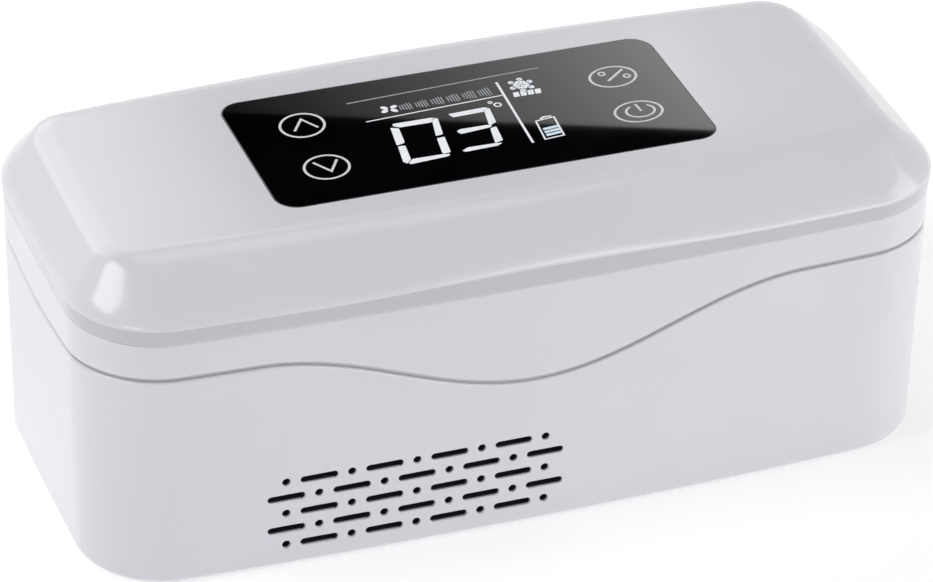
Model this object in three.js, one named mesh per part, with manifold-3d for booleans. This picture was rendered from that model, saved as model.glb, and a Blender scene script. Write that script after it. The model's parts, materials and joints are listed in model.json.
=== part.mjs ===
// A portable insulin cooling case: a long box with a hinged, bevelled lid that carries a display, over a
// cooled chamber for insulin pens, a thermoelectric stack with its fan, a battery and a control board.
// Millimetres, +Z up. X runs along the case, the front faces -Y and the feet stand on z = 0.
import * as THREE from "three";
import { mergeVertices } from "three/addons/utils/BufferGeometryUtils.js";
import Module from "manifold-3d";

const wasm = await Module();
wasm.setup();

// Case
const caseLength = 210; // over the lid's skirt
const caseWidth = 96;
const cornerRadius = 22;
const sideBow = 3.1; // how far the long sides bow out
const endBow = 0.6;
const footHeight = 1;
const baseHeight = 63.6; // underside to lid seam
const rimStep = 0.8; // the base stands back from the lid's skirt
const endTaper = 1.7; // each end leans in this much towards the underside
const sideFlare = 0.5;
const bottomFillet = 3.5;
const wall = 2.4;
const floorThickness = 2.4;
const floorChamfer = 2;
const clearance = 0.3; // between pieces that touch
const seamGap = 0.5;
const overrun = 1; // how far a cutter runs past what it cuts
const weld = 0.5; // how far a feature is sunk into what it grows from

// Parting line between the two housings, a groove that dips in the middle of each side
const partingDrop = 9.6; // below the lid seam
const sideDip = 15.7;
const sideDipSpan = 66;
const endDip = 2.8;
const endDipSpan = 42;
const grooveWidth = 0.9;
const tongueHeight = 2.2;

// Vents in the front wall: dots and dashes that trade places from row to row
const ventCentreX = -28.8;
const ventCentreRise = 13.4; // above the underside
const ventRows = 5;
const ventColumns = 5;
const ventPitch = 15.6;
const ventRowPitch = 4.3;
const dashLength = 8.6;
const dashWidth = 1.4;
const dotWidth = 1.8;

// Lid
const skirtHeight = 5.9;
const bevelHeight = 10;
const endBevel = 8.4;
const sideBevel = 11.5;
const plateauRadius = 8.8;
const plateauBow = 4;
const plateauFall = 0.7; // from the flat round the window to the ridge
const plateauMargin = 4;
const skirtEdgeSoftness = 2.2;
const ridgeSoftness = 3.6;
const lidTopThickness = 3.2;

// Window, display and touch keys
const windowLength = 107.3;
const windowSideMargin = 23.6; // from the case's long sides
const windowWidth = caseWidth - 2 * windowSideMargin;
const windowOffsetY = 0.9;
const windowRadius = 5.5;
const windowThickness = 1.3;
const ledgeWidth = 2.5;
const lcdEndMargin = 28.65; // from the window's ends
const lcdLength = windowLength - 2 * lcdEndMargin;
const lcdSideMargin = 5.4; // inside the ledge
const lcdWidth = windowWidth - 2 * ledgeWidth - 2 * lcdSideMargin;
const lcdThickness = 2.8;
const lcdOffsetX = 1;
const keyPadRadius = 5;
const keyPadBore = 2.8;
const keyPadTaper = 1.2;
const keyEndInset = 15.35; // from the window's ends
const keyRowShare = 0.182; // of the window's width
const keyOffsetX = windowLength / 2 - keyEndInset;
const keyOffsetY = windowWidth * keyRowShare;
const boardEndMargin = 1.65; // inside the window's ends
const boardSideMargin = 3.6; // outside the window's sides
const displayBoardLength = windowLength - 2 * boardEndMargin;
const displayBoardWidth = windowWidth + 2 * boardSideMargin;
const boardThickness = 1.6;
const stakeRadius = 1;
const stakeBossRadius = 2.6;
const stakeInset = 4; // from the board's ends
const stakeSideInset = 2.9;
const displayChipSize = 12; // parts under the display board, placed from its middle
const displayChipDepth = 1.6;
const displayPlugLength = 12;
const displayPlugWidth = 5;
const displayPlugDepth = 3;
const displayPlugInset = 1;
const sounderRadius = 4.5;
const sounderDepth = 2.6;
const sounderX = 30;
const sounderY = -12;

// Chamber tray, its insulation and the deck round it
const trayEndMargin = 15; // from the case's ends to the mouth
const traySideMargin = 21;
const trayLength = caseLength - 2 * trayEndMargin; // inside the mouth
const trayWidth = caseWidth - 2 * traySideMargin;
const trayDepth = 24;
const trayRadius = 9;
const trayDraft = 1.5;
const trayFillet = 4;
const trayFloorRadius = 3; // least corner radius round the floor
const traySheet = 1.2;
const flangeWidth = 3;
const flangeThickness = 1;
const deckThickness = 3;
const foamWall = 4;
const foamUnder = 5;
const foamRadius = 16;

// Lid liner, its plug, seal and foam
const sealThickness = 1.6;
const sealWidth = 4.5;
const linerThickness = 3;
const plugDepth = 5;
const plugClearance = 1.2;
const plugWall = 1.6;

// Thermoelectric stack: cold block, module, heat sink, fan
const coldBlockSize = 44;
const moduleSize = 40;
const moduleThickness = 3.8;
const ceramicThickness = 0.8;
const moduleRim = 1.2;
const sinkSideMargin = 16; // from the case's long sides
const sinkWidth = caseWidth - 2 * sinkSideMargin;
const sinkBatteryGap = 3.6;
const sinkBaseThickness = 4;
const finCount = 20;
const finThickness = 1.2;
const fanSize = 50;
const fanThickness = 10;
const fanRadius = 3;
const fanRim = 1.4; // least width of the frame round its bore
const fanBoreRadius = fanSize / 2 - fanRim;
const fanHoleRadius = 2.1;
const fanHoleInset = 5;
const strutCount = 4;
const strutWidth = 2.6;
const strutThickness = 1.6;
const motorPlateRadius = 9.2;
const bearingTubeRadius = 2.6;
const bearingTubeHeight = 5.5;
const hubRadius = 9.8;
const hubWall = 1;
const hubHeight = 7.2;
const shaftRadius = 1;
const bladeCount = 7;
const bladeTipGap = 1.2;
const bladeTipRadius = fanBoreRadius - bladeTipGap;
const bladeChord = 8.4;
const bladeThickness = 1;
const bladeRootPitch = 52; // degrees from the fan's plane
const bladeTipPitch = 30;
const bladeStations = 3;

// Grille in the floor under the fan
const grilleRings = 3;
const grilleArcs = 4;
const grilleInnerRadius = 8;
const grilleSlotWidth = 2.6;
const grilleRimGap = 2.6; // inside the fan's bore
const grilleBridge = 4;
const arcSteps = 4;

// Battery
const cellRadius = 9.2;
const cellEndMargin = 15.5; // from the case's long sides
const cellLength = caseWidth - 2 * cellEndMargin;
const cellPitch = 19.8;
const nubRadius = 2.8;
const nubHeight = 0.9;
const batteryBoardGap = 3.4;
const holderWall = 1.8;
const holderFloor = 1.4;
const contactThickness = 0.8;
const contactHeight = 12;
const cradleTilt = Math.PI / 6; // how far below the cell's axis a cradle ends

// Control board and power inlet
const boardLength = 35;
const boardSideInset = 20; // from the case's long sides
const boardWidth = caseWidth - 2 * boardSideInset;
const boardEndInset = 7.4; // from the tip of the base
const boardRise = 8;
const boardCorner = 1.5;
const standoffRadius = 3;
const standoffInset = 4;
const boardShares = {
  chip: -0.04,
  coil: -0.25,
  capacitor: -0.32,
  fanSocket: -0.27,
  batterySocket: -0.07,
  peltierSocket: 0.14,
  jack: 0.215,
}; // places of its parts from its middle, as shares of its width
const chipSize = 8;
const chipHeight = 1.4;
const coilRadius = 4.2;
const coilHeight = 5;
const capacitorRadius = 3;
const capacitorHeight = 9;
const capacitorX = 12;
const capacitorPitch = 7.4;
const socketX = -11;
const socketLength = 6;
const socketWidth = 5;
const socketHeight = 5;
const jackLength = 12;
const jackWidth = 9;
const jackHeight = 11;
const jackNoseRadius = 4;
const jackBoreRadius = 2.8;
const jackPinRadius = 0.9;
const jackBoreStart = 4; // from the back of the body
const jackRecess = 0.4; // of the nose, behind the outer face

// Fasteners, feet and magnets
const screwRadius = 1.3;
const screwHeadRadius = 2.8;
const screwHeadHeight = 1.7;
const housingScrewLength = 13;
const lidScrewLength = 7;
const bossRadius = 3.5;
const postEndInset = 15.5; // from the case's overall ends and sides
const postSideInset = 14;
const postJoin = 13; // height of the boss top above the underside
const lidBossEndInset = 21;
const lidBossSideInset = 12.6;
const footRadius = 7;
const footRecess = 1;
const footEndInset = 27;
const footSideInset = 18;
const magnetRadius = 4;
const magnetThickness = 1.9;
const magnetSkin = 0.8;
const magnetEndInset = 43; // from the case's overall ends and sides
const magnetSideInset = 9.2;

// Hinge
const hingeX = 52;
const hingeSetBack = 0.5; // axis behind the lid's skirt
const knuckleRadius = 2.8;
const pinRadius = 1.1;
const hingeLength = 30;
const lidKnuckleLength = 13.4;
const baseWebDrop = 6.6;
const lidWebRise = 5.6;
const webReach = 0.6; // how far a knuckle's web is sunk into the shell beyond the barrel
const webAngle = 0.7; // where the web leaves the far side of the barrel, from level, in radians

// Leads
const leadRadius = 0.9;
const twinLeadRadius = 1.1;
const leadSides = 6;
const leadRun = 4; // straight stretch where a lead leaves or enters a piece

// Facets
const sideSteps = 3;
const cornerSteps = 6;
const endSteps = 1;
const filletSteps = 2;
const partingSteps = 22;
const partingCrossSteps = 4;
const holeSides = 8;
const roundSides = 14;
const boreSides = 24;
const screwSides = 8;
const dotSides = 6;
const dashEndSteps = 2;
const cradleSteps = 6;
const curveSteps = 5;
const softSteps = 2;
const plainCornerSteps = 4;
const smallCornerSteps = 2;
const leadStep = 4.5; // along a lead

// Heights and half sizes that follow from the above
const underside = footHeight;
const seamHeight = underside + baseHeight;
const floorTop = underside + floorThickness;
const rimTop = seamHeight - seamGap / 2;
const skirtBottom = seamHeight + seamGap / 2;
const skirtTop = seamHeight + skirtHeight;
const plateau = skirtTop + bevelHeight;
const lidInnerTop = plateau - lidTopThickness;
const rimHalfLength = caseLength / 2 - rimStep;
const rimHalfWidth = caseWidth / 2 - rimStep;
const windowBottom = plateau - windowThickness;
const lcdTop = windowBottom - clearance;
const displayBoardTop = lcdTop - lcdThickness - clearance;
const linerBottom = rimTop + sealThickness + 2 * clearance;
const linerTop = linerBottom + linerThickness;
const plugBottom = rimTop - plugDepth;
const plugHalfLength = trayLength / 2 - plugClearance;
const plugHalfWidth = trayWidth / 2 - plugClearance;
const plugRadius = trayRadius - plugClearance;
const trayFloor = rimTop - trayDepth;
const trayUnderside = trayFloor - traySheet;
const foamBottom = trayUnderside - clearance - foamUnder;
const coldBlockBottom = foamBottom - clearance;
const moduleBottom = coldBlockBottom - clearance - moduleThickness;
const sinkTop = moduleBottom - clearance;
const sinkBaseBottom = sinkTop - sinkBaseThickness;
const fanBottom = floorTop + clearance;
const finBottom = fanBottom + fanThickness + clearance;
const stackX = ventCentreX;
const hingeY = caseWidth / 2 + hingeSetBack;
const hingeReach = hingeSetBack + knuckleRadius; // how far the barrels stand behind the skirt
const postX = caseLength / 2 - postEndInset;
const postY = caseWidth / 2 - postSideInset;
const postJoinHeight = underside + postJoin;
const lidBossX = caseLength / 2 - lidBossEndInset;
const lidBossY = caseWidth / 2 - lidBossSideInset;
const magnetX = caseLength / 2 - magnetEndInset;
const magnetY = -(caseWidth / 2 - magnetSideInset);
const boardX = caseLength / 2 - boardEndInset - boardLength / 2;
const holderHalfLength = cellPitch / 2 + cellRadius + clearance + holderWall;
const batteryX = boardX - boardLength / 2 - batteryBoardGap - holderHalfLength;
const sinkLength = 2 * (batteryX - holderHalfLength - sinkBatteryGap - ventCentreX);
const fanSocketY = boardWidth * boardShares.fanSocket;
const batterySocketY = boardWidth * boardShares.batterySocket;
const peltierSocketY = boardWidth * boardShares.peltierSocket;
const jackY = boardWidth * boardShares.jack;
const boardBottom = floorTop + boardRise;
const boardTop = boardBottom + boardThickness;
const jackAxisHeight = boardTop + clearance + jackHeight / 2;
const cellAxisHeight = floorTop + clearance + holderFloor + clearance + cellRadius;

const shellPlastic = new THREE.MeshStandardMaterial({ color: 0xe6e4ea, roughness: 0.28 });
const linerPlastic = new THREE.MeshStandardMaterial({ color: 0xdedde3, roughness: 0.45 });
const windowGloss = new THREE.MeshStandardMaterial({ color: 0x050506, roughness: 0.08 });
const displayGlass = new THREE.MeshStandardMaterial({ color: 0x1a1d22, roughness: 0.2 });
const boardLaminate = new THREE.MeshStandardMaterial({ color: 0x14512f, roughness: 0.5 });
const blackPlastic = new THREE.MeshStandardMaterial({ color: 0x141416, roughness: 0.5 });
const rubber = new THREE.MeshStandardMaterial({ color: 0x3a3a3d, roughness: 0.8 });
const foam = new THREE.MeshStandardMaterial({ color: 0xf0efea, roughness: 0.95 });
const aluminium = new THREE.MeshStandardMaterial({ color: 0xb9bcc0, roughness: 0.35, metalness: 1 });
const ceramic = new THREE.MeshStandardMaterial({ color: 0xf4f3ef, roughness: 0.5 });
const steel = new THREE.MeshStandardMaterial({ color: 0x9fa2a6, roughness: 0.3, metalness: 1 });
const nickel = new THREE.MeshStandardMaterial({ color: 0xc9c6bd, roughness: 0.3, metalness: 1 });
const cellWrap = new THREE.MeshStandardMaterial({ color: 0x2f6fb5, roughness: 0.4 });
const redInsulation = new THREE.MeshStandardMaterial({ color: 0xb3261e, roughness: 0.5 });

// A closed geometry as a solid that can be cut and joined.
function solid(geometry) {
  const bare = new THREE.BufferGeometry();
  bare.setAttribute("position", geometry.getAttribute("position"));
  bare.setIndex(geometry.index);
  const merged = mergeVertices(bare);
  return new wasm.Manifold(
    new wasm.Mesh({
      numProp: 3,
      vertProperties: merged.getAttribute("position").array,
      triVerts: new Uint32Array(merged.index.array),
    }),
  );
}

function geometryOf(shape) {
  const mesh = shape.getMesh();
  const geometry = new THREE.BufferGeometry();
  geometry.setAttribute("position", new THREE.BufferAttribute(mesh.vertProperties, 3));
  geometry.setIndex(new THREE.BufferAttribute(mesh.triVerts, 1));
  geometry.computeVertexNormals();
  return geometry;
}

function join(solids) {
  return solids.reduce((whole, next) => whole.add(next));
}

// A full outline from its quarter, which runs from the +X axis to the +Y axis.
function mirrorQuarter(quarter) {
  const back = [...quarter].reverse();
  return [
    ...quarter,
    ...back.slice(1).map((p) => new THREE.Vector2(-p.x, p.y)),
    ...quarter.slice(1).map((p) => new THREE.Vector2(-p.x, -p.y)),
    ...back.slice(1, -1).map((p) => new THREE.Vector2(p.x, -p.y)),
  ];
}

function arc(centre, radius, from, to, steps) {
  return Array.from({ length: steps + 1 }, (_, i) => {
    const angle = THREE.MathUtils.lerp(from, to, i / steps);
    return new THREE.Vector2(centre.x + radius * Math.cos(angle), centre.y + radius * Math.sin(angle));
  });
}

// A rectangle whose sides all bow out, with a corner circle that touches both bows from inside.
function bowedOutline({ halfLength, halfWidth, bow, tipBow, radius }) {
  const sideRadius = (halfLength ** 2 + bow ** 2) / (2 * bow);
  const tipRadius = (halfWidth ** 2 + tipBow ** 2) / (2 * tipBow);
  const sideCentre = new THREE.Vector2(0, halfWidth - sideRadius);
  const tipCentre = new THREE.Vector2(halfLength - tipRadius, 0);
  const span = sideCentre.distanceTo(tipCentre);
  const toSide = sideRadius - radius;
  const toTip = tipRadius - radius;
  const along = (span ** 2 + toSide ** 2 - toTip ** 2) / (2 * span);
  const across = Math.sqrt(toSide ** 2 - along ** 2);
  const way = tipCentre.clone().sub(sideCentre).normalize();
  const corner = sideCentre.clone().addScaledVector(way, along);
  corner.addScaledVector(new THREE.Vector2(way.y, -way.x), across);
  const tipAngle = corner.clone().sub(tipCentre).angle();
  const sideAngle = corner.clone().sub(sideCentre).angle();
  return mirrorQuarter([
    ...arc(tipCentre, tipRadius, 0, tipAngle, endSteps),
    ...arc(corner, radius, tipAngle, sideAngle, cornerSteps).slice(1),
    ...arc(sideCentre, sideRadius, sideAngle, Math.PI / 2, sideSteps).slice(1),
  ]);
}

function roundedOutline(halfLength, halfWidth, radius, steps = plainCornerSteps) {
  const centre = new THREE.Vector2(halfLength - radius, halfWidth - radius);
  const corner = arc(centre, radius, 0, Math.PI / 2, steps);
  const flipX = (p) => new THREE.Vector2(-p.x, p.y);
  const flipY = (p) => new THREE.Vector2(p.x, -p.y);
  return [
    ...corner,
    ...[...corner].reverse().map(flipX),
    ...corner.map(flipX).map(flipY),
    ...[...corner].reverse().map(flipY),
  ];
}

function circleOutline(radius, sides, x = 0, y = 0) {
  return arc(new THREE.Vector2(x, y), radius, 0, 2 * Math.PI, sides).slice(1);
}

// A closed body through outlines of equal point counts, from the lowest up.
function loft(sections) {
  const count = sections[0].ring.length;
  const points = sections.flatMap(({ ring, z }) => ring.flatMap((p) => [p.x, p.y, z]));
  const faces = [];
  for (let level = 0; level + 1 < sections.length; level += 1) {
    for (let i = 0; i < count; i += 1) {
      const near = level * count + i;
      const next = level * count + ((i + 1) % count);
      faces.push(near, next, next + count, near, next + count, near + count);
    }
  }
  const lastRow = (sections.length - 1) * count;
  const under = THREE.ShapeUtils.triangulateShape(sections[0].ring, []);
  const over = THREE.ShapeUtils.triangulateShape(sections.at(-1).ring, []);
  under.forEach(([a, b, c]) => faces.push(a, c, b));
  over.forEach(([a, b, c]) => faces.push(lastRow + a, lastRow + b, lastRow + c));
  const geometry = new THREE.BufferGeometry();
  geometry.setAttribute("position", new THREE.Float32BufferAttribute(points, 3));
  geometry.setIndex(faces);
  return solid(geometry);
}

function prism(ring, low, high) {
  return loft([
    { ring, z: low },
    { ring, z: high },
  ]);
}

function cylinder(radius, low, high, x = 0, y = 0, sides = holeSides) {
  return prism(circleOutline(radius, sides, x, y), low, high);
}

function box(x0, x1, y0, y1, z0, z1) {
  const geometry = new THREE.BoxGeometry(x1 - x0, y1 - y0, z1 - z0);
  return solid(geometry.translate((x0 + x1) / 2, (y0 + y1) / 2, (z0 + z1) / 2));
}

function extruded(shape, depth) {
  return new THREE.ExtrudeGeometry(shape, { depth, bevelEnabled: false, curveSegments: curveSteps });
}

// A shape drawn in Y and Z, run along X.
function alongX(shape, low, high) {
  const geometry = extruded(shape, high - low);
  const axes = new THREE.Matrix4().makeBasis(
    new THREE.Vector3(0, 1, 0),
    new THREE.Vector3(0, 0, 1),
    new THREE.Vector3(1, 0, 0),
  );
  return solid(geometry.applyMatrix4(axes).translate(low, 0, 0));
}

// A shape drawn in X and Z, run along Y.
function alongY(shape, low, high) {
  const geometry = extruded(shape, high - low);
  return solid(geometry.rotateX(Math.PI / 2).translate(0, high, 0));
}

// A body turned about Z from a profile of radius and height that starts and ends on the axis.
function turned(profile, sides = roundSides) {
  const points = profile.map(([radius, height]) => new THREE.Vector2(radius, height));
  return solid(new THREE.LatheGeometry(points, sides).rotateX(Math.PI / 2));
}

// The four mirrored places of a fitting.
function fourCorners(x, y) {
  return [
    ["front_left", -x, -y],
    ["front_right", x, -y],
    ["rear_left", -x, y],
    ["rear_right", x, y],
  ];
}

// Base outline at a height, stood in from its outer face.
function baseRing(z, inset = 0) {
  const share = (seamHeight - z) / baseHeight;
  return bowedOutline({
    halfLength: rimHalfLength - endTaper * share - inset,
    halfWidth: rimHalfWidth + sideFlare * share - inset,
    bow: sideBow,
    tipBow: endBow,
    radius: cornerRadius - rimStep - inset,
  });
}

function baseSection(z, inset) {
  return { ring: baseRing(z, inset), z };
}

// Lid outline: plan is the way in from the skirt over the long side's bevel and then over the plateau.
function lidRing(plan, inset = 0) {
  const share = Math.min(plan / sideBevel, 1);
  const beyond = Math.max(plan - sideBevel, 0) + inset;
  return bowedOutline({
    halfLength: caseLength / 2 - endBevel * share - beyond,
    halfWidth: caseWidth / 2 - sideBevel * share - beyond,
    bow: THREE.MathUtils.lerp(sideBow, plateauBow, share),
    tipBow: endBow,
    radius: THREE.MathUtils.lerp(cornerRadius, plateauRadius, share) - beyond,
  });
}

function partingHeight(x, y) {
  const hump = (share) => (Math.abs(share) < 1 ? (1 + Math.cos(Math.PI * share)) / 2 : 0);
  return seamHeight - partingDrop - sideDip * hump(x / sideDipSpan) - endDip * hump(y / endDipSpan);
}

// Everything under the parting surface, raised by lift.
function partingBlock(lift) {
  const block = new THREE.BoxGeometry(
    caseLength + 2 * overrun,
    caseWidth + 2 * overrun,
    baseHeight,
    partingSteps,
    partingCrossSteps,
  );
  const points = block.getAttribute("position");
  for (let i = 0; i < points.count; i += 1) {
    const top = partingHeight(points.getX(i), points.getY(i)) + lift;
    points.setZ(i, points.getZ(i) > 0 ? top : underside - overrun);
  }
  return solid(block);
}

function baseCavity(inset) {
  return loft([
    baseSection(floorTop, inset + floorChamfer),
    baseSection(floorTop + floorChamfer, inset),
    baseSection(rimTop + overrun, inset),
  ]);
}

function baseShell() {
  const fillet = Array.from({ length: filletSteps + 1 }, (_, i) => {
    const angle = ((Math.PI / 2) * i) / filletSteps;
    const rise = bottomFillet * (1 - Math.cos(angle));
    return baseSection(underside + rise, bottomFillet * (1 - Math.sin(angle)));
  });
  return loft([...fillet, baseSection(rimTop, 0)]).subtract(baseCavity(wall));
}

// Rows of dots and dashes; every second row starts with a dash.
function ventCutter() {
  const holes = [];
  const outside = -caseWidth / 2 - overrun;
  const inside = outside + wall + sideBow + 2 * overrun;
  for (let row = 0; row < ventRows; row += 1) {
    const z = underside + ventCentreRise + (row - (ventRows - 1) / 2) * ventRowPitch;
    for (let step = 0; step < 2 * ventColumns - 1; step += 1) {
      const x = ventCentreX + (step / 2 - (ventColumns - 1) / 2) * ventPitch;
      const dash = (row + step) % 2 === 1;
      const outline = dash ? dashPoints(x, z) : circleOutline(dotWidth / 2, dotSides, x, z);
      holes.push(alongY(new THREE.Shape(outline), outside, inside));
    }
  }
  return join(holes);
}

function dashPoints(x, z) {
  const reach = (dashLength - dashWidth) / 2;
  const end = (side, from) =>
    arc(new THREE.Vector2(x + side * reach, z), dashWidth / 2, from, from + Math.PI, dashEndSteps);
  return [...end(1, -Math.PI / 2), ...end(-1, Math.PI / 2)];
}

// Broken rings of slots under the fan.
function grilleCutter() {
  const slots = [];
  const centre = new THREE.Vector2(stackX, 0);
  const room = fanBoreRadius - grilleRimGap - grilleSlotWidth - grilleInnerRadius;
  for (let ring = 0; ring < grilleRings; ring += 1) {
    const inner = grilleInnerRadius + (room * ring) / (grilleRings - 1);
    const outer = inner + grilleSlotWidth;
    for (let part = 0; part < grilleArcs; part += 1) {
      const gap = grilleBridge / (inner + outer);
      const from = (2 * Math.PI * part) / grilleArcs + gap;
      const to = (2 * Math.PI * (part + 1)) / grilleArcs - gap;
      const far = arc(centre, outer, from, to, arcSteps);
      const near = arc(centre, inner, to, from, arcSteps);
      slots.push(prism([...far, ...near], underside - overrun, floorTop + overrun));
    }
  }
  return join(slots);
}

function lowerHousing() {
  const tongue = loft([
    baseSection(floorTop, (wall + clearance) / 2),
    baseSection(rimTop, (wall + clearance) / 2),
  ]).subtract(baseCavity(wall));
  const shell = baseShell()
    .intersect(partingBlock(-grooveWidth / 2))
    .add(tongue.intersect(partingBlock(tongueHeight)));
  const bosses = fourCorners(postX, postY).map(([, x, y]) =>
    cylinder(bossRadius, floorTop - weld, postJoinHeight, x, y, roundSides),
  );
  const standoffs = boardCorners().map(([x, y]) =>
    cylinder(standoffRadius, floorTop - weld, boardBottom - clearance, x, y),
  );
  const boardPins = boardCorners().map(([x, y]) =>
    cylinder(standoffRadius / 2 - clearance, boardBottom - clearance - weld, boardTop + clearance, x, y),
  );
  const fanPins = fanCorners().map(([x, y]) =>
    cylinder(fanHoleRadius - clearance, floorTop - weld, fanBottom + fanThickness / 2, stackX + x, y),
  );
  const screwHoles = fourCorners(postX, postY).flatMap(([, x, y]) => [
    cylinder(screwRadius + clearance, underside - overrun, postJoinHeight + overrun, x, y),
    cylinder(screwHeadRadius + clearance, underside - overrun, screwSeat(), x, y, roundSides),
  ]);
  const footRecesses = fourCorners(footX(), footY()).map(([, x, y]) =>
    cylinder(footRadius + clearance, underside - overrun, underside + footRecess, x, y, roundSides),
  );
  const jackHole = alongX(
    new THREE.Shape(circleOutline(jackNoseRadius + clearance, roundSides, jackY, jackAxisHeight)),
    rimHalfLength - endTaper - wall - overrun,
    rimHalfLength + overrun,
  );
  return join([shell, ...bosses, ...standoffs, ...boardPins, ...fanPins])
    .subtract(join([...screwHoles, ...footRecesses, jackHole]))
    .subtract(ventCutter())
    .subtract(grilleCutter());
}

function screwSeat() {
  return underside + screwHeadHeight + clearance;
}

function footX() {
  return caseLength / 2 - footEndInset;
}

function footY() {
  return caseWidth / 2 - footSideInset;
}

function fanCorners() {
  const reach = fanSize / 2 - fanHoleInset;
  return fourCorners(reach, reach).map(([, x, y]) => [x, y]);
}

function boardCorners() {
  const reach = boardLength / 2 - standoffInset;
  return fourCorners(reach, boardWidth / 2 - standoffInset).map(([, x, y]) => [boardX + x, y]);
}

// Barrel of a hinge knuckle with the web that ties it to its shell, below the axis for the base and above
// it for the lid.
function knuckleShape(rise) {
  const up = Math.sign(rise);
  const shape = new THREE.Shape();
  shape.moveTo(hingeY - knuckleRadius - webReach, seamHeight);
  shape.lineTo(hingeY - knuckleRadius, seamHeight);
  shape.absarc(hingeY, seamHeight, knuckleRadius, Math.PI, up * webAngle, up < 0);
  shape.lineTo(hingeY - knuckleRadius - webReach, seamHeight + rise);
  shape.closePath();
  return shape;
}

function knuckleSpans() {
  const inner = lidKnuckleLength / 2;
  const outer = hingeLength / 2;
  return [-hingeX, hingeX].map((x) => ({
    lid: [x - inner, x + inner],
    base: [
      [x - outer, x - inner - clearance],
      [x + inner + clearance, x + outer],
    ],
  }));
}

function hingeCylinder(radius, low, high, sides = roundSides) {
  return alongX(new THREE.Shape(circleOutline(radius, sides, hingeY, seamHeight)), low, high);
}

function pinHoles() {
  const reach = hingeLength / 2 + overrun;
  const hole = (x) => hingeCylinder(pinRadius + clearance, x - reach, x + reach, holeSides);
  return join([-hingeX, hingeX].map(hole));
}

function deck() {
  const plate = loft([
    baseSection(rimTop - deckThickness, wall - weld),
    baseSection(rimTop, wall - weld),
  ]);
  const mouth = trayOutline(traySheet + clearance);
  const rebate = trayOutline(flangeWidth + clearance);
  return plate
    .subtract(prism(mouth, rimTop - deckThickness - overrun, rimTop + overrun))
    .subtract(prism(rebate, rimTop - flangeThickness - clearance, rimTop + overrun));
}

function trayOutline(out) {
  return roundedOutline(trayLength / 2 + out, trayWidth / 2 + out, trayRadius + out);
}

function upperHousing() {
  const tongueRoom = loft([
    baseSection(floorTop, (wall - clearance) / 2),
    baseSection(rimTop, (wall - clearance) / 2),
  ]).intersect(partingBlock(tongueHeight + clearance));
  const rim = baseShell()
    .subtract(partingBlock(grooveWidth / 2))
    .subtract(tongueRoom);
  const posts = fourCorners(postX, postY).map(([, x, y]) =>
    cylinder(bossRadius, postJoinHeight + clearance, rimTop - deckThickness + weld, x, y, roundSides),
  );
  const pilotTop = screwSeat() + housingScrewLength + overrun;
  const pilotHoles = fourCorners(postX, postY).map(([, x, y]) =>
    cylinder(screwRadius + clearance / 2, postJoinHeight - overrun, pilotTop, x, y),
  );
  const magnetPockets = magnetPocketsBetween(rimTop - deckThickness - overrun, rimTop - magnetSkin);
  const lidRelief = knuckleSpans().map(({ lid }) =>
    hingeCylinder(knuckleRadius + clearance, lid[0] - clearance, lid[1] + clearance),
  );
  const knuckles = knuckleSpans().flatMap(({ base }) =>
    base.map(([low, high]) => alongX(knuckleShape(-baseWebDrop), low, high)),
  );
  return join([rim, deck(), ...posts])
    .subtract(join([...pilotHoles, ...magnetPockets, ...lidRelief]))
    .add(join(knuckles))
    .subtract(pinHoles());
}

function magnetSpots() {
  return [
    ["left", -magnetX],
    ["right", magnetX],
  ];
}

function magnetPocketsBetween(low, high) {
  return magnetSpots().map(([, x]) => cylinder(magnetRadius + clearance, low, high, x, magnetY, roundSides));
}

// A drawn sheet pan with a rolled bottom edge and a flat flange.
function chamberTray() {
  const pan = (out, low, top) => {
    const floorInset = trayDraft - out;
    const part = trayFillet * (1 - Math.SQRT1_2);
    const ring = (inset) => {
      const radius = Math.max(trayRadius - inset, trayFloorRadius);
      return roundedOutline(trayLength / 2 - inset, trayWidth / 2 - inset, radius);
    };
    return loft([
      { ring: ring(floorInset + trayFillet), z: low },
      { ring: ring(floorInset + part), z: low + part },
      { ring: ring(floorInset), z: low + trayFillet },
      { ring: ring(-out), z: top },
    ]);
  };
  const flange = prism(trayOutline(flangeWidth), rimTop - flangeThickness, rimTop);
  return pan(traySheet, trayUnderside, rimTop)
    .add(flange)
    .subtract(pan(0, trayFloor, rimTop + overrun));
}

function trayInsulation() {
  const out = traySheet + clearance + foamWall;
  const outer = roundedOutline(trayLength / 2 + out, trayWidth / 2 + out, foamRadius);
  const room = traySheet + clearance;
  const blockRoom = coldBlockSize / 2 + clearance;
  const top = rimTop - deckThickness - clearance;
  const window = box(-blockRoom, blockRoom, -blockRoom, blockRoom, foamBottom - overrun, trayUnderside);
  return prism(outer, foamBottom, top)
    .subtract(prism(trayOutline(room), trayUnderside - clearance, top + overrun))
    .subtract(window.translate([stackX, 0, 0]));
}

function coldBlock() {
  const half = coldBlockSize / 2;
  return box(-half, half, -half, half, 0, trayUnderside - clearance - coldBlockBottom);
}

function peltierModule() {
  const half = moduleSize / 2;
  const core = half - moduleRim;
  const top = moduleThickness - ceramicThickness;
  return join([
    box(-half, half, -half, half, 0, ceramicThickness),
    box(-core, core, -core, core, ceramicThickness / 2, top + ceramicThickness / 2),
    box(-half, half, -half, half, top, moduleThickness),
  ]);
}

// Base plate with fins that run front to back, so the air leaves through the front vents.
function heatSink() {
  const half = sinkLength / 2;
  const pitch = (sinkLength - finThickness) / (finCount - 1);
  const outline = [new THREE.Vector2(half, sinkTop), new THREE.Vector2(-half, sinkTop)];
  for (let fin = 0; fin < finCount; fin += 1) {
    const x = -half + fin * pitch;
    if (fin > 0) outline.push(new THREE.Vector2(x, sinkBaseBottom));
    outline.push(new THREE.Vector2(x, finBottom), new THREE.Vector2(x + finThickness, finBottom));
    if (fin < finCount - 1) outline.push(new THREE.Vector2(x + finThickness, sinkBaseBottom));
  }
  return alongY(new THREE.Shape(outline), -sinkWidth / 2, sinkWidth / 2);
}

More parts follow.
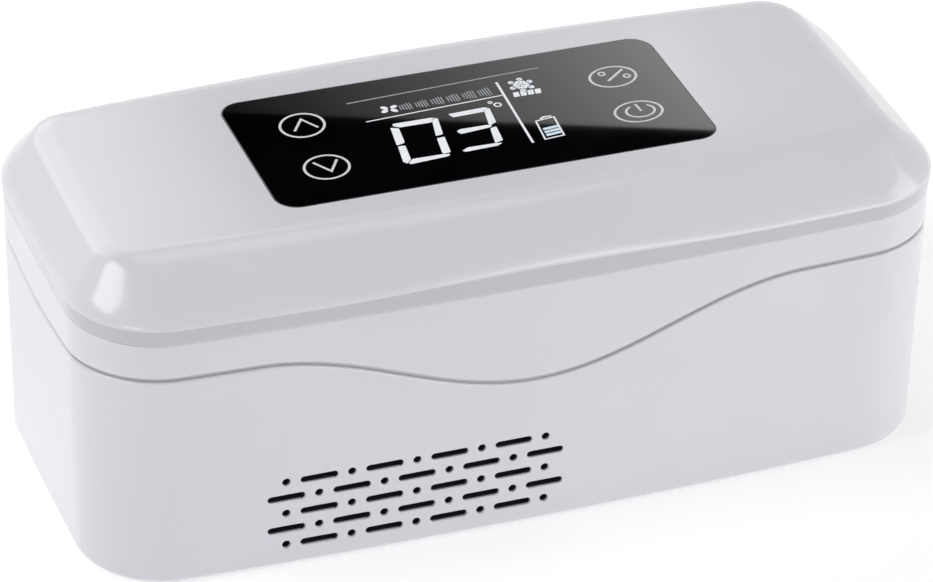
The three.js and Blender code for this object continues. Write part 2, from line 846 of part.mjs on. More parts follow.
// Square frame with a round bore, a motor plate on four struts and a bearing tube, from z = 0 up.
function fanFrame() {
  const half = fanSize / 2;
  const outer = prism(roundedOutline(half, half, fanRadius, smallCornerSteps), 0, fanThickness);
  const bore = cylinder(fanBoreRadius, -overrun, fanThickness + overrun, 0, 0, boreSides);
  const holes = fanCorners().map(([x, y]) =>
    cylinder(fanHoleRadius, -overrun, fanThickness + overrun, x, y),
  );
  const plate = cylinder(motorPlateRadius, 0, strutThickness, 0, 0, roundSides);
  const tube = cylinder(bearingTubeRadius, 0, strutThickness + bearingTubeHeight);
  const struts = Array.from({ length: strutCount }, (_, i) => {
    const bar = new THREE.BoxGeometry(fanBoreRadius + weld - shaftRadius, strutWidth, strutThickness);
    bar.translate((fanBoreRadius + weld + shaftRadius) / 2, 0, strutThickness / 2);
    return solid(bar.rotateZ((2 * Math.PI * i) / strutCount + Math.PI / 4));
  });
  const bearing = cylinder(shaftRadius + clearance, strutThickness / 2, fanThickness);
  return outer
    .subtract(join([bore, ...holes]))
    .add(join([plate, tube, ...struts]))
    .subtract(bearing);
}

// A blade as a loft through sections that turn flatter from hub to tip.
function fanBlade(turn) {
  const rows = [];
  const middle = strutThickness + clearance + hubHeight / 2;
  const corners = [
    [1, 1],
    [-1, 1],
    [-1, -1],
    [1, -1],
  ];
  const count = corners.length;
  for (let i = 0; i < bladeStations; i += 1) {
    const share = i / (bladeStations - 1);
    const radius = THREE.MathUtils.lerp(hubRadius - hubWall / 2, bladeTipRadius, share);
    const pitch = THREE.MathUtils.degToRad(THREE.MathUtils.lerp(bladeRootPitch, bladeTipPitch, share));
    const chord = new THREE.Vector2(Math.cos(pitch), Math.sin(pitch)).multiplyScalar(bladeChord / 2);
    const normal = new THREE.Vector2(-Math.sin(pitch), Math.cos(pitch)).multiplyScalar(bladeThickness / 2);
    corners.forEach(([along, off]) => {
      const across = along * chord.x + off * normal.x;
      const up = along * chord.y + off * normal.y;
      rows.push(radius, across, middle + up);
    });
  }
  const faces = [];
  for (let row = 0; row + 1 < bladeStations; row += 1) {
    for (let i = 0; i < count; i += 1) {
      const near = row * count + i;
      const next = row * count + ((i + 1) % count);
      faces.push(near, next, next + count, near, next + count, near + count);
    }
  }
  const tip = (bladeStations - 1) * count;
  faces.push(0, 2, 1, 0, 3, 2, tip, tip + 1, tip + 2, tip, tip + 2, tip + 3);
  const geometry = new THREE.BufferGeometry();
  geometry.setAttribute("position", new THREE.Float32BufferAttribute(rows, 3));
  geometry.setIndex(faces);
  return solid(geometry.rotateZ(turn));
}

function fanRotor() {
  const low = strutThickness + clearance;
  const top = low + hubHeight;
  const cup = turned([
    [0, low],
    [shaftRadius, low],
    [shaftRadius, top - hubWall],
    [hubRadius - hubWall, top - hubWall],
    [hubRadius - hubWall, low],
    [hubRadius, low],
    [hubRadius, top],
    [0, top],
  ]);
  const blades = Array.from({ length: bladeCount }, (_, i) => fanBlade((2 * Math.PI * i) / bladeCount));
  return join([cup, ...blades]);
}

function boardPlate(length, width) {
  return prism(roundedOutline(length / 2, width / 2, boardCorner, smallCornerSteps), 0, boardThickness);
}

// Control board with its chip, coil, capacitors and sockets, from the underside of the laminate up.
function mainBoard() {
  const low = boardThickness - weld;
  const holes = fourCorners(boardLength / 2 - standoffInset, boardWidth / 2 - standoffInset).map(([, x, y]) =>
    cylinder(standoffRadius / 2, -overrun, boardThickness + overrun, x, y),
  );
  const block = (length, width, height, x, y) =>
    box(x - length / 2, x + length / 2, y - width / 2, y + width / 2, low, boardThickness + height);
  const can = (radius, height, x, y) => cylinder(radius, low, boardThickness + height, x, y, roundSides);
  const sockets = [fanSocketY, batterySocketY, peltierSocketY].map((y) =>
    block(socketLength, socketWidth, socketHeight, socketX, y),
  );
  const capacitorY = boardWidth * boardShares.capacitor;
  const parts = [
    block(chipSize, chipSize, chipHeight, 0, boardWidth * boardShares.chip),
    can(coilRadius, coilHeight, 0, boardWidth * boardShares.coil),
    can(capacitorRadius, capacitorHeight, capacitorX, capacitorY),
    can(capacitorRadius, capacitorHeight, capacitorX - capacitorPitch, capacitorY - capacitorRadius),
    ...sockets,
  ];
  return boardPlate(boardLength, boardWidth).subtract(join(holes)).add(join(parts));
}

function dcJack() {
  const half = jackHeight / 2;
  const noseEnd = jackTip() - jackBack();
  const body = box(0, jackLength, -jackWidth / 2, jackWidth / 2, -half, half);
  const round = (radius, low, high, sides) =>
    alongX(new THREE.Shape(circleOutline(radius, sides)), low, high);
  return body
    .add(round(jackNoseRadius, jackLength - weld, noseEnd, roundSides))
    .subtract(round(jackBoreRadius, jackBoreStart, noseEnd + overrun, roundSides))
    .add(round(jackPinRadius, jackBoreStart - weld, noseEnd - overrun, holeSides));
}

function jackTip() {
  const share = (seamHeight - jackAxisHeight) / baseHeight;
  return rimHalfLength - endTaper * share - jackRecess;
}

function jackBack() {
  return rimHalfLength - endTaper - wall - clearance - jackLength;
}

// From the middle of the battery to the inside of the holder's end walls.
function holderInnerReach() {
  return cellLength / 2 + nubHeight + contactThickness + 3 * clearance;
}

// Two cradles with an upright end wall behind each contact.
function batteryHolder() {
  const room = cellRadius + clearance;
  const half = holderHalfLength;
  const bed = room + holderFloor;
  const brim = -room * Math.sin(cradleTilt);
  const outline = [
    new THREE.Vector2(-half, -bed),
    new THREE.Vector2(half, -bed),
    new THREE.Vector2(half, brim),
  ];
  [cellPitch / 2, -cellPitch / 2].forEach((x) => {
    outline.push(...arc(new THREE.Vector2(x, 0), room, -cradleTilt, cradleTilt - Math.PI, cradleSteps));
  });
  outline.push(new THREE.Vector2(-half, brim));
  const inner = holderInnerReach();
  const outer = inner + holderWall;
  const cradle = alongY(new THREE.Shape(outline), -outer, outer);
  const ends = [-1, 1].map((side) => {
    const near = Math.min(side * inner, side * outer);
    return box(-half, half, near, near + holderWall, -bed, cellRadius);
  });
  return join([cradle, ...ends]);
}

function batteryCell() {
  const half = cellLength / 2;
  const edge = nubHeight;
  return turned([
    [0, -half],
    [cellRadius - edge, -half],
    [cellRadius, -half + edge],
    [cellRadius, half - edge],
    [cellRadius - edge, half],
    [nubRadius, half],
    [nubRadius, half + nubHeight],
    [0, half + nubHeight],
  ]);
}

function batteryContact() {
  const half = (cellPitch + cellRadius) / 2;
  const low = clearance - (cellRadius + clearance) * Math.sin(cradleTilt);
  return box(-half, half, 0, contactThickness, low, low + contactHeight);
}

function foot() {
  const height = footHeight + footRecess - clearance;
  const edge = footHeight / 2;
  return turned(
    [
      [0, 0],
      [footRadius - edge, 0],
      [footRadius, edge],
      [footRadius, height],
      [0, height],
    ],
    roundSides,
  );
}

// Pan-head screw that points up, its head's underside at z = 0.
function screw(length) {
  const edge = screwHeadHeight / 3;
  return turned(
    [
      [0, -screwHeadHeight],
      [screwHeadRadius - edge, -screwHeadHeight],
      [screwHeadRadius, -screwHeadHeight + edge],
      [screwHeadRadius, 0],
      [screwRadius, 0],
      [screwRadius, length - screwRadius / 2],
      [screwRadius / 2, length],
      [0, length],
    ],
    screwSides,
  );
}

function magnet() {
  return cylinder(magnetRadius, 0, magnetThickness, 0, 0, roundSides);
}

// Points of the corner at "at", rounded off by a reach along each leg.
function softCorner(before, at, after, reach) {
  const from = at.clone().add(before.clone().sub(at).setLength(reach));
  const to = at.clone().add(after.clone().sub(at).setLength(reach));
  return new THREE.QuadraticBezierCurve(from, at, to).getPoints(softSteps);
}

// Skirt, bevel and plateau in one loft; the corner between bevels is a cone.
function lidOuter() {
  const foot = new THREE.Vector2(0, skirtBottom);
  const edge = new THREE.Vector2(0, skirtTop);
  const ridge = new THREE.Vector2(sideBevel, plateau - plateauFall);
  const flat = new THREE.Vector2(sideBevel + plateauMargin, plateau);
  const profile = [
    foot,
    ...softCorner(foot, edge, ridge, skirtEdgeSoftness),
    ...softCorner(edge, ridge, flat, ridgeSoftness),
    flat,
  ];
  return loft(profile.map((p) => ({ ring: lidRing(p.x), z: p.y })));
}

function lidInner() {
  return loft([
    { ring: lidRing(0, wall), z: skirtBottom - overrun },
    { ring: lidRing(0, wall), z: skirtTop - wall / 2 },
    { ring: lidRing(sideBevel), z: lidInnerTop },
  ]);
}

function windowOutline(out) {
  const ring = roundedOutline(windowLength / 2 + out, windowWidth / 2 + out, windowRadius + out);
  return ring.map((p) => new THREE.Vector2(p.x, p.y + windowOffsetY));
}

function stakeSpots() {
  const reachX = displayBoardLength / 2 - stakeInset;
  const reachY = displayBoardWidth / 2 - stakeSideInset;
  return fourCorners(reachX, reachY).map(([, x, y]) => [x, y + windowOffsetY]);
}

function lidShell() {
  const outer = lidOuter();
  const bosses = fourCorners(lidBossX, lidBossY).map(([, x, y]) =>
    cylinder(bossRadius - weld, linerTop + clearance, plateau, x, y, roundSides),
  );
  const stakes = stakeSpots().flatMap(([x, y]) => [
    cylinder(stakeBossRadius, displayBoardTop + clearance, lidInnerTop + weld, x, y),
    cylinder(stakeRadius, displayBoardTop - boardThickness - clearance, lidInnerTop + weld, x, y),
  ]);
  const pilotTop = lidScrewSeat() + lidScrewLength + clearance;
  const pilotHoles = fourCorners(lidBossX, lidBossY).map(([, x, y]) =>
    cylinder(screwRadius + clearance / 2, linerTop - overrun, pilotTop, x, y),
  );
  const pocket = prism(windowOutline(clearance), windowBottom - clearance, plateau + overrun);
  const opening = prism(windowOutline(-ledgeWidth), lidInnerTop - overrun, plateau + overrun);
  const baseRelief = knuckleSpans().flatMap(({ base }) =>
    base.map(([low, high]) => hingeCylinder(knuckleRadius + clearance, low - clearance, high + clearance)),
  );
  const knuckles = knuckleSpans().map(({ lid }) => alongX(knuckleShape(lidWebRise), lid[0], lid[1]));
  return outer
    .subtract(lidInner())
    .add(join(bosses).intersect(outer))
    .add(join(stakes))
    .subtract(join([...pilotHoles, pocket, opening, ...baseRelief]))
    .add(join(knuckles))
    .subtract(pinHoles());
}

function lidScrewSeat() {
  return linerBottom + screwHeadHeight + clearance;
}

function displayWindow() {
  return prism(windowOutline(0), windowBottom, plateau);
}

// Display cell under a thin metal-free bezel, with the flat tail that leads to its board.
function lcdModule() {
  const half = new THREE.Vector2(lcdLength / 2, lcdWidth / 2);
  const body = box(-half.x, half.x, -half.y, half.y, 0, lcdThickness);
  const step = lcdThickness / 3;
  const lip = box(-half.x - step, half.x + step, -half.y - step, half.y + step, 0, step);
  return body.add(lip);
}

// Board under the window with its chip, plug and sounder hanging below the laminate.
function displayBoard() {
  const holes = stakeSpots().map(([x, y]) =>
    cylinder(stakeRadius + clearance, -overrun, boardThickness + overrun, x, y - windowOffsetY),
  );
  const chipReach = displayChipSize / 2;
  const plugReach = displayPlugLength / 2;
  const plugEnd = displayBoardWidth / 2 - displayPlugInset;
  const parts = [
    box(-chipReach, chipReach, -chipReach, chipReach, -displayChipDepth, weld),
    box(-plugReach, plugReach, plugEnd - displayPlugWidth, plugEnd, -displayPlugDepth, weld),
    cylinder(sounderRadius, -sounderDepth, weld, sounderX, sounderY, roundSides),
  ];
  return boardPlate(displayBoardLength, displayBoardWidth).subtract(join(holes)).add(join(parts));
}

// Conductive ring that carries a key's touch from the window down to the board.
function touchPad() {
  const height = windowBottom - displayBoardTop - 2 * clearance;
  const profile = [
    [0, 0],
    [keyPadRadius, 0],
    [keyPadRadius - keyPadTaper, height],
    [0, height],
  ];
  return turned(profile, holeSides).subtract(cylinder(keyPadBore, -overrun, height + overrun));
}

function plugOutline(out) {
  return roundedOutline(plugHalfLength + out, plugHalfWidth + out, plugRadius + out);
}

// Cover plate inside the skirt with a hollow plug that drops into the chamber's mouth.
function lidLiner() {
  const plate = prism(lidRing(0, wall + 2 * clearance), linerBottom, linerTop);
  const plug = prism(plugOutline(0), plugBottom, linerBottom + weld);
  const hollow = prism(plugOutline(-plugWall), plugBottom + plugWall, linerTop + overrun);
  const screwHoles = fourCorners(lidBossX, lidBossY).flatMap(([, x, y]) => [
    cylinder(screwRadius + clearance, linerBottom - overrun, linerTop + overrun, x, y),
    cylinder(screwHeadRadius + clearance, linerBottom - overrun, lidScrewSeat(), x, y, roundSides),
  ]);
  const magnetPockets = magnetPocketsBetween(linerBottom + magnetSkin, linerTop + overrun);
  return plate
    .add(plug)
    .subtract(hollow)
    .subtract(join([...screwHoles, ...magnetPockets]));
}

function lidFoam() {
  return prism(plugOutline(-plugWall - clearance), plugBottom + plugWall + clearance, linerTop);
}

function lidSeal() {
  const low = rimTop + clearance;
  return prism(plugOutline(clearance + sealWidth), low, low + sealThickness).subtract(
    prism(plugOutline(clearance), low - overrun, low + sealThickness + overrun),
  );
}

function hingePin() {
  return alongX(new THREE.Shape(circleOutline(pinRadius, holeSides)), -hingeLength / 2, hingeLength / 2);
}

// A lead of round section along a smooth curve through its points.
function lead(points, radius) {
  const path = new THREE.CatmullRomCurve3(points.map((p) => new THREE.Vector3(...p)));
  const section = new THREE.Shape(circleOutline(radius, leadSides));
  const steps = Math.ceil(path.getLength() / leadStep);
  return solid(new THREE.ExtrudeGeometry(section, { steps, extrudePath: path, bevelEnabled: false }));
}

// From the fan's side, along the floor in front of the battery and up to its socket.
function fanLead() {
  const channelY = -(caseWidth / 2 - wall - sideBow - 2 * leadRadius);
  const low = floorTop + floorChamfer + leadRadius;
  const plugX = boardX + socketX;
  const start = stackX + fanSize / 2 + clearance;
  const end = fanSocketY - socketWidth / 2 - clearance;
  const height = boardTop + socketHeight / 2;
  const points = [
    [start, -fanSize / 3, low],
    [start + leadRun, -fanSize / 3, low],
    [batteryX - cellPitch - leadRun, channelY, low],
    [batteryX, channelY, low],
    [boardX - boardLength / 2, channelY, low + leadRadius],
    [plugX, end - 2 * leadRun, height],
    [plugX, end - leadRun, height],
    [plugX, end, height],
  ];
  return lead(points, leadRadius);
}

// Over the battery from the module's side, then down onto its socket.
function peltierLead() {
  const plugX = boardX + socketX;
  const start = moduleBottom + moduleThickness / 2;
  const overCells = cellAxisHeight + cellRadius + 3 * twinLeadRadius;
  const socketTop = boardTop + socketHeight + clearance;
  const points = [
    [stackX + moduleSize / 2 + clearance, peltierSocketY, start],
    [stackX + moduleSize / 2 + leadRun, peltierSocketY, start],
    [stackX + sinkLength / 2 + leadRun, peltierSocketY, start],
    [batteryX, peltierSocketY, overCells],
    [plugX - leadRun, peltierSocketY, overCells],
    [plugX, peltierSocketY, socketTop + leadRun],
    [plugX, peltierSocketY, socketTop],
  ];
  return lead(points, twinLeadRadius);
}

// From the holder's front end wall, past the cell and onto its socket.
function batteryLead() {
  const start = batteryX + holderHalfLength + clearance;
  const end = boardX + socketX - socketLength / 2 - clearance;
  const run = (end - start) / 3;
  const wallY = -(holderInnerReach() + holderWall / 2);
  const low = cellAxisHeight + cellRadius / 2;
  const height = boardTop + socketHeight / 2;
  const points = [
    [start, wallY, low],
    [start + run, wallY, low],
    [(start + end) / 2, (wallY + batterySocketY) / 2, height + leadRadius],
    [end - run, batterySocketY, height],
    [end, batterySocketY, height],
  ];
  return lead(points, leadRadius);
}

const coolingCase = new THREE.Group();
// The hinge barrels stand behind the case, so the case stands forward by half their reach.
const centred = new THREE.Group();
centred.position.y = -hingeReach / 2;
coolingCase.add(centred);
const base = new THREE.Group();
const lid = new THREE.Group();
centred.add(base, lid);

function addPiece(group, name, shape, material, x = 0, y = 0, z = 0) {
  const mesh = new THREE.Mesh(geometryOf(shape), material);
  mesh.name = name;
  mesh.position.set(x, y, z);
  group.add(mesh);
  return mesh;
}

addPiece(base, "lower_housing", lowerHousing(), shellPlastic);
addPiece(base, "upper_housing", upperHousing(), shellPlastic);
addPiece(base, "chamber_tray", chamberTray(), aluminium);
addPiece(base, "tray_insulation", trayInsulation(), foam);
addPiece(base, "cold_block", coldBlock(), aluminium, stackX, 0, coldBlockBottom);
addPiece(base, "peltier_module", peltierModule(), ceramic, stackX, 0, moduleBottom);
addPiece(base, "heat_sink", heatSink(), aluminium, stackX);
addPiece(base, "main_board", mainBoard(), boardLaminate, boardX, 0, boardBottom);
addPiece(base, "dc_jack", dcJack(), blackPlastic, jackBack(), jackY, jackAxisHeight);
addPiece(base, "battery_holder", batteryHolder(), blackPlastic, batteryX, 0, cellAxisHeight);
[
  ["battery_cell_left", -1],
  ["battery_cell_right", 1],
].forEach(([name, side]) => {
  const x = batteryX + (side * cellPitch) / 2;
  const cell = addPiece(base, name, batteryCell(), cellWrap, x, 0, cellAxisHeight);
  cell.rotation.x = (side * Math.PI) / 2;
});
const contactY = cellLength / 2 + nubHeight + clearance;
addPiece(base, "battery_contact_rear", batteryContact(), nickel, batteryX, contactY, cellAxisHeight);
addPiece(
  base,
  "battery_contact_front",
  batteryContact(),
  nickel,
  batteryX,
  -contactY - contactThickness,
  cellAxisHeight,
);
addPiece(base, "fan_lead", fanLead(), blackPlastic);
addPiece(base, "peltier_lead", peltierLead(), redInsulation);
addPiece(base, "battery_lead", batteryLead(), redInsulation);

const fan = new THREE.Group();
fan.position.set(stackX, 0, fanBottom);
base.add(fan);
addPiece(fan, "fan_frame", fanFrame(), blackPlastic);
addPiece(fan, "fan_rotor", fanRotor(), blackPlastic);

fourCorners(footX(), footY()).forEach(([place, x, y]) => {
  addPiece(base, `foot_${place}`, foot(), rubber, x, y);
});
fourCorners(postX, postY).forEach(([place, x, y]) => {
  addPiece(base, `housing_screw_${place}`, screw(housingScrewLength), steel, x, y, screwSeat());
});
magnetSpots().forEach(([place, x]) => {
  const z = rimTop - magnetSkin - clearance - magnetThickness;
  addPiece(base, `base_magnet_${place}`, magnet(), steel, x, magnetY, z);
  addPiece(lid, `lid_magnet_${place}`, magnet(), steel, x, magnetY, linerBottom + magnetSkin + clearance);
});
addPiece(base, "hinge_pin_left", hingePin(), steel, -hingeX, hingeY, seamHeight);
addPiece(base, "hinge_pin_right", hingePin(), steel, hingeX, hingeY, seamHeight);

addPiece(lid, "lid_shell", lidShell(), shellPlastic);
addPiece(lid, "display_window", displayWindow(), windowGloss);
addPiece(lid, "lcd_module", lcdModule(), displayGlass, lcdOffsetX, windowOffsetY, lcdTop - lcdThickness);
const displayBoardBottom = displayBoardTop - boardThickness;
addPiece(lid, "display_board", displayBoard(), boardLaminate, 0, windowOffsetY, displayBoardBottom);
[
  ["up", -1, 1],
  ["down", -1, -1],
  ["unit", 1, 1],
  ["power", 1, -1],
].forEach(([key, sideX, sideY]) => {
  const x = sideX * keyOffsetX;
  const y = windowOffsetY + sideY * keyOffsetY;
  addPiece(lid, `touch_pad_${key}`, touchPad(), blackPlastic, x, y, displayBoardTop + clearance);
});
addPiece(lid, "lid_liner", lidLiner(), linerPlastic);
addPiece(lid, "lid_foam", lidFoam(), foam);
addPiece(lid, "lid_seal", lidSeal(), rubber);
fourCorners(lidBossX, lidBossY).forEach(([place, x, y]) => {
  addPiece(lid, `lid_screw_${place}`, screw(lidScrewLength), steel, x, y, lidScrewSeat());
});

export default coolingCase;
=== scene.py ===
import json
import math

import bmesh
import bpy
from mathutils import Matrix, Vector

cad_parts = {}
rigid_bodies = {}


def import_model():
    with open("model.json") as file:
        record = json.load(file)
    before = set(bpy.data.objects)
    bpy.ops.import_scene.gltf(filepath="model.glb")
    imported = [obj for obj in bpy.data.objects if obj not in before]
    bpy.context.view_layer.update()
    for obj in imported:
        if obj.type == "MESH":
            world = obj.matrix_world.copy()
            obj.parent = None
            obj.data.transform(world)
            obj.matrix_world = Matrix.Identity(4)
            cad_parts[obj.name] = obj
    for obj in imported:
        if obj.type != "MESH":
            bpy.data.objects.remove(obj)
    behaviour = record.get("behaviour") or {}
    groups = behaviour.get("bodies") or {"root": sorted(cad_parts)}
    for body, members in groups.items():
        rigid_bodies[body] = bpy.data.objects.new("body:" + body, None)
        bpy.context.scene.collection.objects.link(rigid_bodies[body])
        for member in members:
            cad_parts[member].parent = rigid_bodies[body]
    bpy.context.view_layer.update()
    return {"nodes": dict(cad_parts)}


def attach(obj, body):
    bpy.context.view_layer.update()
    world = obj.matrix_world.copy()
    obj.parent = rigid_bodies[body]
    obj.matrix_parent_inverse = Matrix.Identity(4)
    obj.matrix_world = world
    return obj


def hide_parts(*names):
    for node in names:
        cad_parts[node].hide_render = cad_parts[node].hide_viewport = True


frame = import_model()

# A portable insulin cooling case: bevelled lid with a gloss window and touch keys over a vented base.
# Sizes are millimetres in the case's own frame; toScene turns them into metres in the CAD frame.

scene = bpy.context.scene
scene.view_settings.view_transform = "Standard"

caseSize = {
    "length": 210.0, "width": 96.0, "cornerRadius": 22.0, "sideBow": 3.1, "endBow": 0.6, "footHeight": 1.0,
    "baseHeight": 63.6, "rimStep": 0.8, "endTaper": 0.9, "endReach": 0.5, "sideFlare": 0.5, "bottomFillet": 1.3,
    "rimDrop": 0.7,  # a shallow rim round the underside
    "rimInsets": (3.8, 3.2), "topRound": 0.4, "wall": 2.4, "floor": 2.4, "floorChamfer": 2.0, "gap": 0.3,
    "seamGap": 0.5,
    "forward": 1.65,  # the case stands this far forward, half of its hinge's reach
}
ringSteps = {"end": 8, "corner": 22, "side": 30}
underside = caseSize["footHeight"]
seamHeight = underside + caseSize["baseHeight"]
floorTop = underside + caseSize["floor"]
rimTop = seamHeight - caseSize["seamGap"] / 2
gap = caseSize["gap"]
wall = caseSize["wall"]
milli = 0.001  # metres to a millimetre
chamfer = 0.3  # on small edges
past = 1.0  # a cutting tool runs this far past the face it opens
grip = 0.5  # a post starts this deep inside what it stands on
paints = []  # what a new shape is painted with before its own finish: plastic, painted shade where it lies deep, and painted shade on the lid's skirt


# Shape helpers
def toScene(point):
    x, y, z = point
    return (x * milli, (y - caseSize["forward"]) * milli, z * milli)


def tidyMesh(piece):
    work = bmesh.new()
    work.from_mesh(piece.data)
    bmesh.ops.remove_doubles(work, verts=work.verts, dist=1e-7)
    bmesh.ops.recalc_face_normals(work, faces=work.faces)
    work.to_mesh(piece.data)
    work.free()
    return piece


def newPiece(name, points, faces, shades=None):
    mesh = bpy.data.meshes.new(name)
    mesh.from_pydata([toScene(p) for p in points], [], faces)
    for material in paints:
        mesh.materials.append(material)
    if shades:
        mesh.polygons.foreach_set("material_index", shades)
    mesh.update()
    piece = bpy.data.objects.new(name, mesh)
    scene.collection.objects.link(piece)
    return tidyMesh(piece)


def turnsBetween(start, end, steps):
    return [start + (end - start) * i / steps for i in range(steps + 1)]


def arcPoints(cx, cy, radius, start, end, steps):
    return [(cx + radius * math.cos(a), cy + radius * math.sin(a)) for a in turnsBetween(start, end, steps)]


# A quarter round as pairs of distances: the first falls from the radius to nothing while the second grows.
def quarterRound(radius, steps):
    return [(radius * (1 - math.sin(a)), radius * (1 - math.cos(a))) for a in turnsBetween(0, math.pi / 2, steps)]


def circlePoints(radius, sides, x=0.0, y=0.0):
    return arcPoints(x, y, radius, 0, 2 * math.pi, sides)[1:]


# The outline of a rectangle whose sides all bow out, corner circles touching both bows.
def bowedRing(halfLength, halfWidth, bow, tipBow, radius):
    sideRadius = (halfLength ** 2 + bow ** 2) / (2 * bow)
    tipRadius = (halfWidth ** 2 + tipBow ** 2) / (2 * tipBow)
    side = Vector((0, halfWidth - sideRadius))
    tip = Vector((halfLength - tipRadius, 0))
    span = (tip - side).length
    toSide, toTip = sideRadius - radius, tipRadius - radius
    along = (span ** 2 + toSide ** 2 - toTip ** 2) / (2 * span)
    across = math.sqrt(toSide ** 2 - along ** 2)
    way = (tip - side).normalized()
    corner = side + way * along + Vector((way.y, -way.x)) * across
    tipTurn = math.atan2(corner.y - tip.y, corner.x - tip.x)
    sideTurn = math.atan2(corner.y - side.y, corner.x - side.x)
    quarter = arcPoints(tip.x, tip.y, tipRadius, 0, tipTurn, ringSteps["end"])
    quarter += arcPoints(corner.x, corner.y, radius, tipTurn, sideTurn, ringSteps["corner"])[1:]
    quarter += arcPoints(side.x, side.y, sideRadius, sideTurn, math.pi / 2, ringSteps["side"])[1:]
    back = quarter[::-1]
    ring = quarter + [(-x, y) for x, y in back[1:]]
    return ring + [(-x, -y) for x, y in quarter[1:]] + [(x, -y) for x, y in back[1:-1]]


def roundedRing(halfLength, halfWidth, radius, steps=10, centre=(0.0, 0.0)):
    corner = arcPoints(halfLength - radius, halfWidth - radius, radius, 0, math.pi / 2, steps)
    ring = corner + [(-x, y) for x, y in corner[::-1]]
    ring += [(-x, -y) for x, y in corner] + [(x, -y) for x, y in corner[::-1]]
    return [(x + centre[0], y + centre[1]) for x, y in ring]


# An outline grown outwards from a piece's length, width and corner radius.
def grownRing(size, out, centre=(0.0, 0.0)):
    return roundedRing(size["length"] / 2 + out, size["width"] / 2 + out, size["radius"] + out, 14, centre)


def lerp(a, b, share):
    return a + (b - a) * share


def softCorner(before, at, after, reach, steps, leave=None):
    before, at, after = Vector(before), Vector(at), Vector(after)
    start = at + (before - at).normalized() * reach
    end = at + (after - at).normalized() * (leave or reach)
    shares = [i / steps for i in range(steps + 1)]
    return [start * (1 - s) ** 2 + at * 2 * s * (1 - s) + end * s ** 2 for s in shares]


# A closed body through rows of equal count, its first and last row capped; shades gives bands another paint.
# A looped body joins its last row to its first instead, as a seal does.
def sweptPiece(name, rows, shades=None, looped=False):
    count = len(rows[0])
    faces = []
    if looped:
        rows = [*rows, rows[0]]
    shades = [(shades or {}).get(r, 0) for r in range(len(rows) - 1) for _ in range(count)] + [0, 0] * (not looped)
    for r in range(len(rows) - 1):
        for i in range(count):
            j = (i + 1) % count
            faces.append((r * count + i, r * count + j, (r + 1) * count + j, (r + 1) * count + i))
    if not looped:
        faces.append(tuple(range(count))[::-1])
        faces.append(tuple((len(rows) - 1) * count + i for i in range(count)))
    return newPiece(name, [p for row in rows for p in row], faces, shades)


def level(ring, z):
    return [(x, y, z) for x, y in ring]


def prismPiece(name, ring, low, high):
    return sweptPiece(name, [level(ring, low), level(ring, high)])


# An outline in y and z, run along x.
def barPiece(name, outline, low, high):
    return sweptPiece(name, [[(x, y, z) for y, z in outline] for x in (low, high)])


# A body through one outline's rows, from a profile of how far each row is grown and its height.
def grownPiece(name, outline, profile, **settings):
    return sweptPiece(name, [level(outline(out), z) for out, z in profile], **settings)


# A body turned about an upright axis from a profile of radius and height.
def turnedPiece(name, profile, x=0.0, y=0.0, sides=48):
    return sweptPiece(name, [level(circlePoints(r, sides, x, y), z) for r, z in profile])


# The same turned body at several spots.
def turnedSet(name, spots, profile, sides=48):
    return [turnedPiece(name, profile, x, y, sides) for x, y in spots]


def postSet(name, spots, radius, low, high, sides=48):
    return turnedSet(name, spots, [(radius, low), (radius, high)], sides)


def bake(piece):
    graph = bpy.context.evaluated_depsgraph_get()
    made = bpy.data.meshes.new_from_object(piece.evaluated_get(graph), depsgraph=graph)
    piece.modifiers.clear()
    old = piece.data
    made.name = old.name + "Mesh"
    piece.data = made
    bpy.data.meshes.remove(old)
    return piece


def drop(*pieces):
    for piece in pieces:
        bpy.data.objects.remove(piece)


def combine(piece, tools, way):
    for tool in tools:
        step = piece.modifiers.new("combine", "BOOLEAN")
        step.operation = way
        step.solver = "MANIFOLD"
        step.material_mode = "TRANSFER"
        step.object = tool
    bake(piece)
    drop(*tools)
    return piece


def cut(piece, *tools):
    return combine(piece, tools, "DIFFERENCE")


def weld(piece, *tools):
    return combine(piece, tools, "UNION")


def smooth(piece, degrees=32):
    tidyMesh(piece)
    piece.data.shade_smooth()
    piece.data.set_sharp_from_angle(angle=math.radians(degrees))
    shade = piece.modifiers.new("weighted", "WEIGHTED_NORMAL")
    shade.keep_sharp = True
    shade.weight = 60
    return piece


def repaint(piece, material):
    piece.data.materials.clear()
    piece.data.materials.append(material)


# What every finished piece gets: its material's name is None where its own faces keep their paints.
def fit(piece, body, slot, material, *nodes):
    if material:
        repaint(piece, paint[material])
    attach(piece, body)
    if nodes:
        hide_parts(*nodes)
    return piece


cornerNames = ("front_left", "front_right", "rear_left", "rear_right")


def fourCorners(x, y, centreX=0.0, centreY=0.0):
    return [(centreX + i * x, centreY + j * y) for j in (-1, 1) for i in (-1, 1)]


# Node helpers. A node's inputs are set from a dictionary: another node's output is linked, anything else is
# the input's own value.
def setInputs(tree, node, values):
    for key, value in values.items():
        if isinstance(value, bpy.types.NodeSocket):
            tree.links.new(value, node.inputs[key])
        else:
            node.inputs[key].default_value = value


def addNode(tree, kind, values=None, **settings):
    node = tree.nodes.new(kind)
    for key, value in settings.items():
        setattr(node, key, value)
    setInputs(tree, node, values or {})
    return node.outputs


def newSockets(tree, way, sockets):
    made = [tree.interface.new_socket(name=label, in_out=way, socket_type="NodeSocket" + kind)
            for label, kind in sockets.items()]
    return {socket.name: socket.identifier for socket in made}


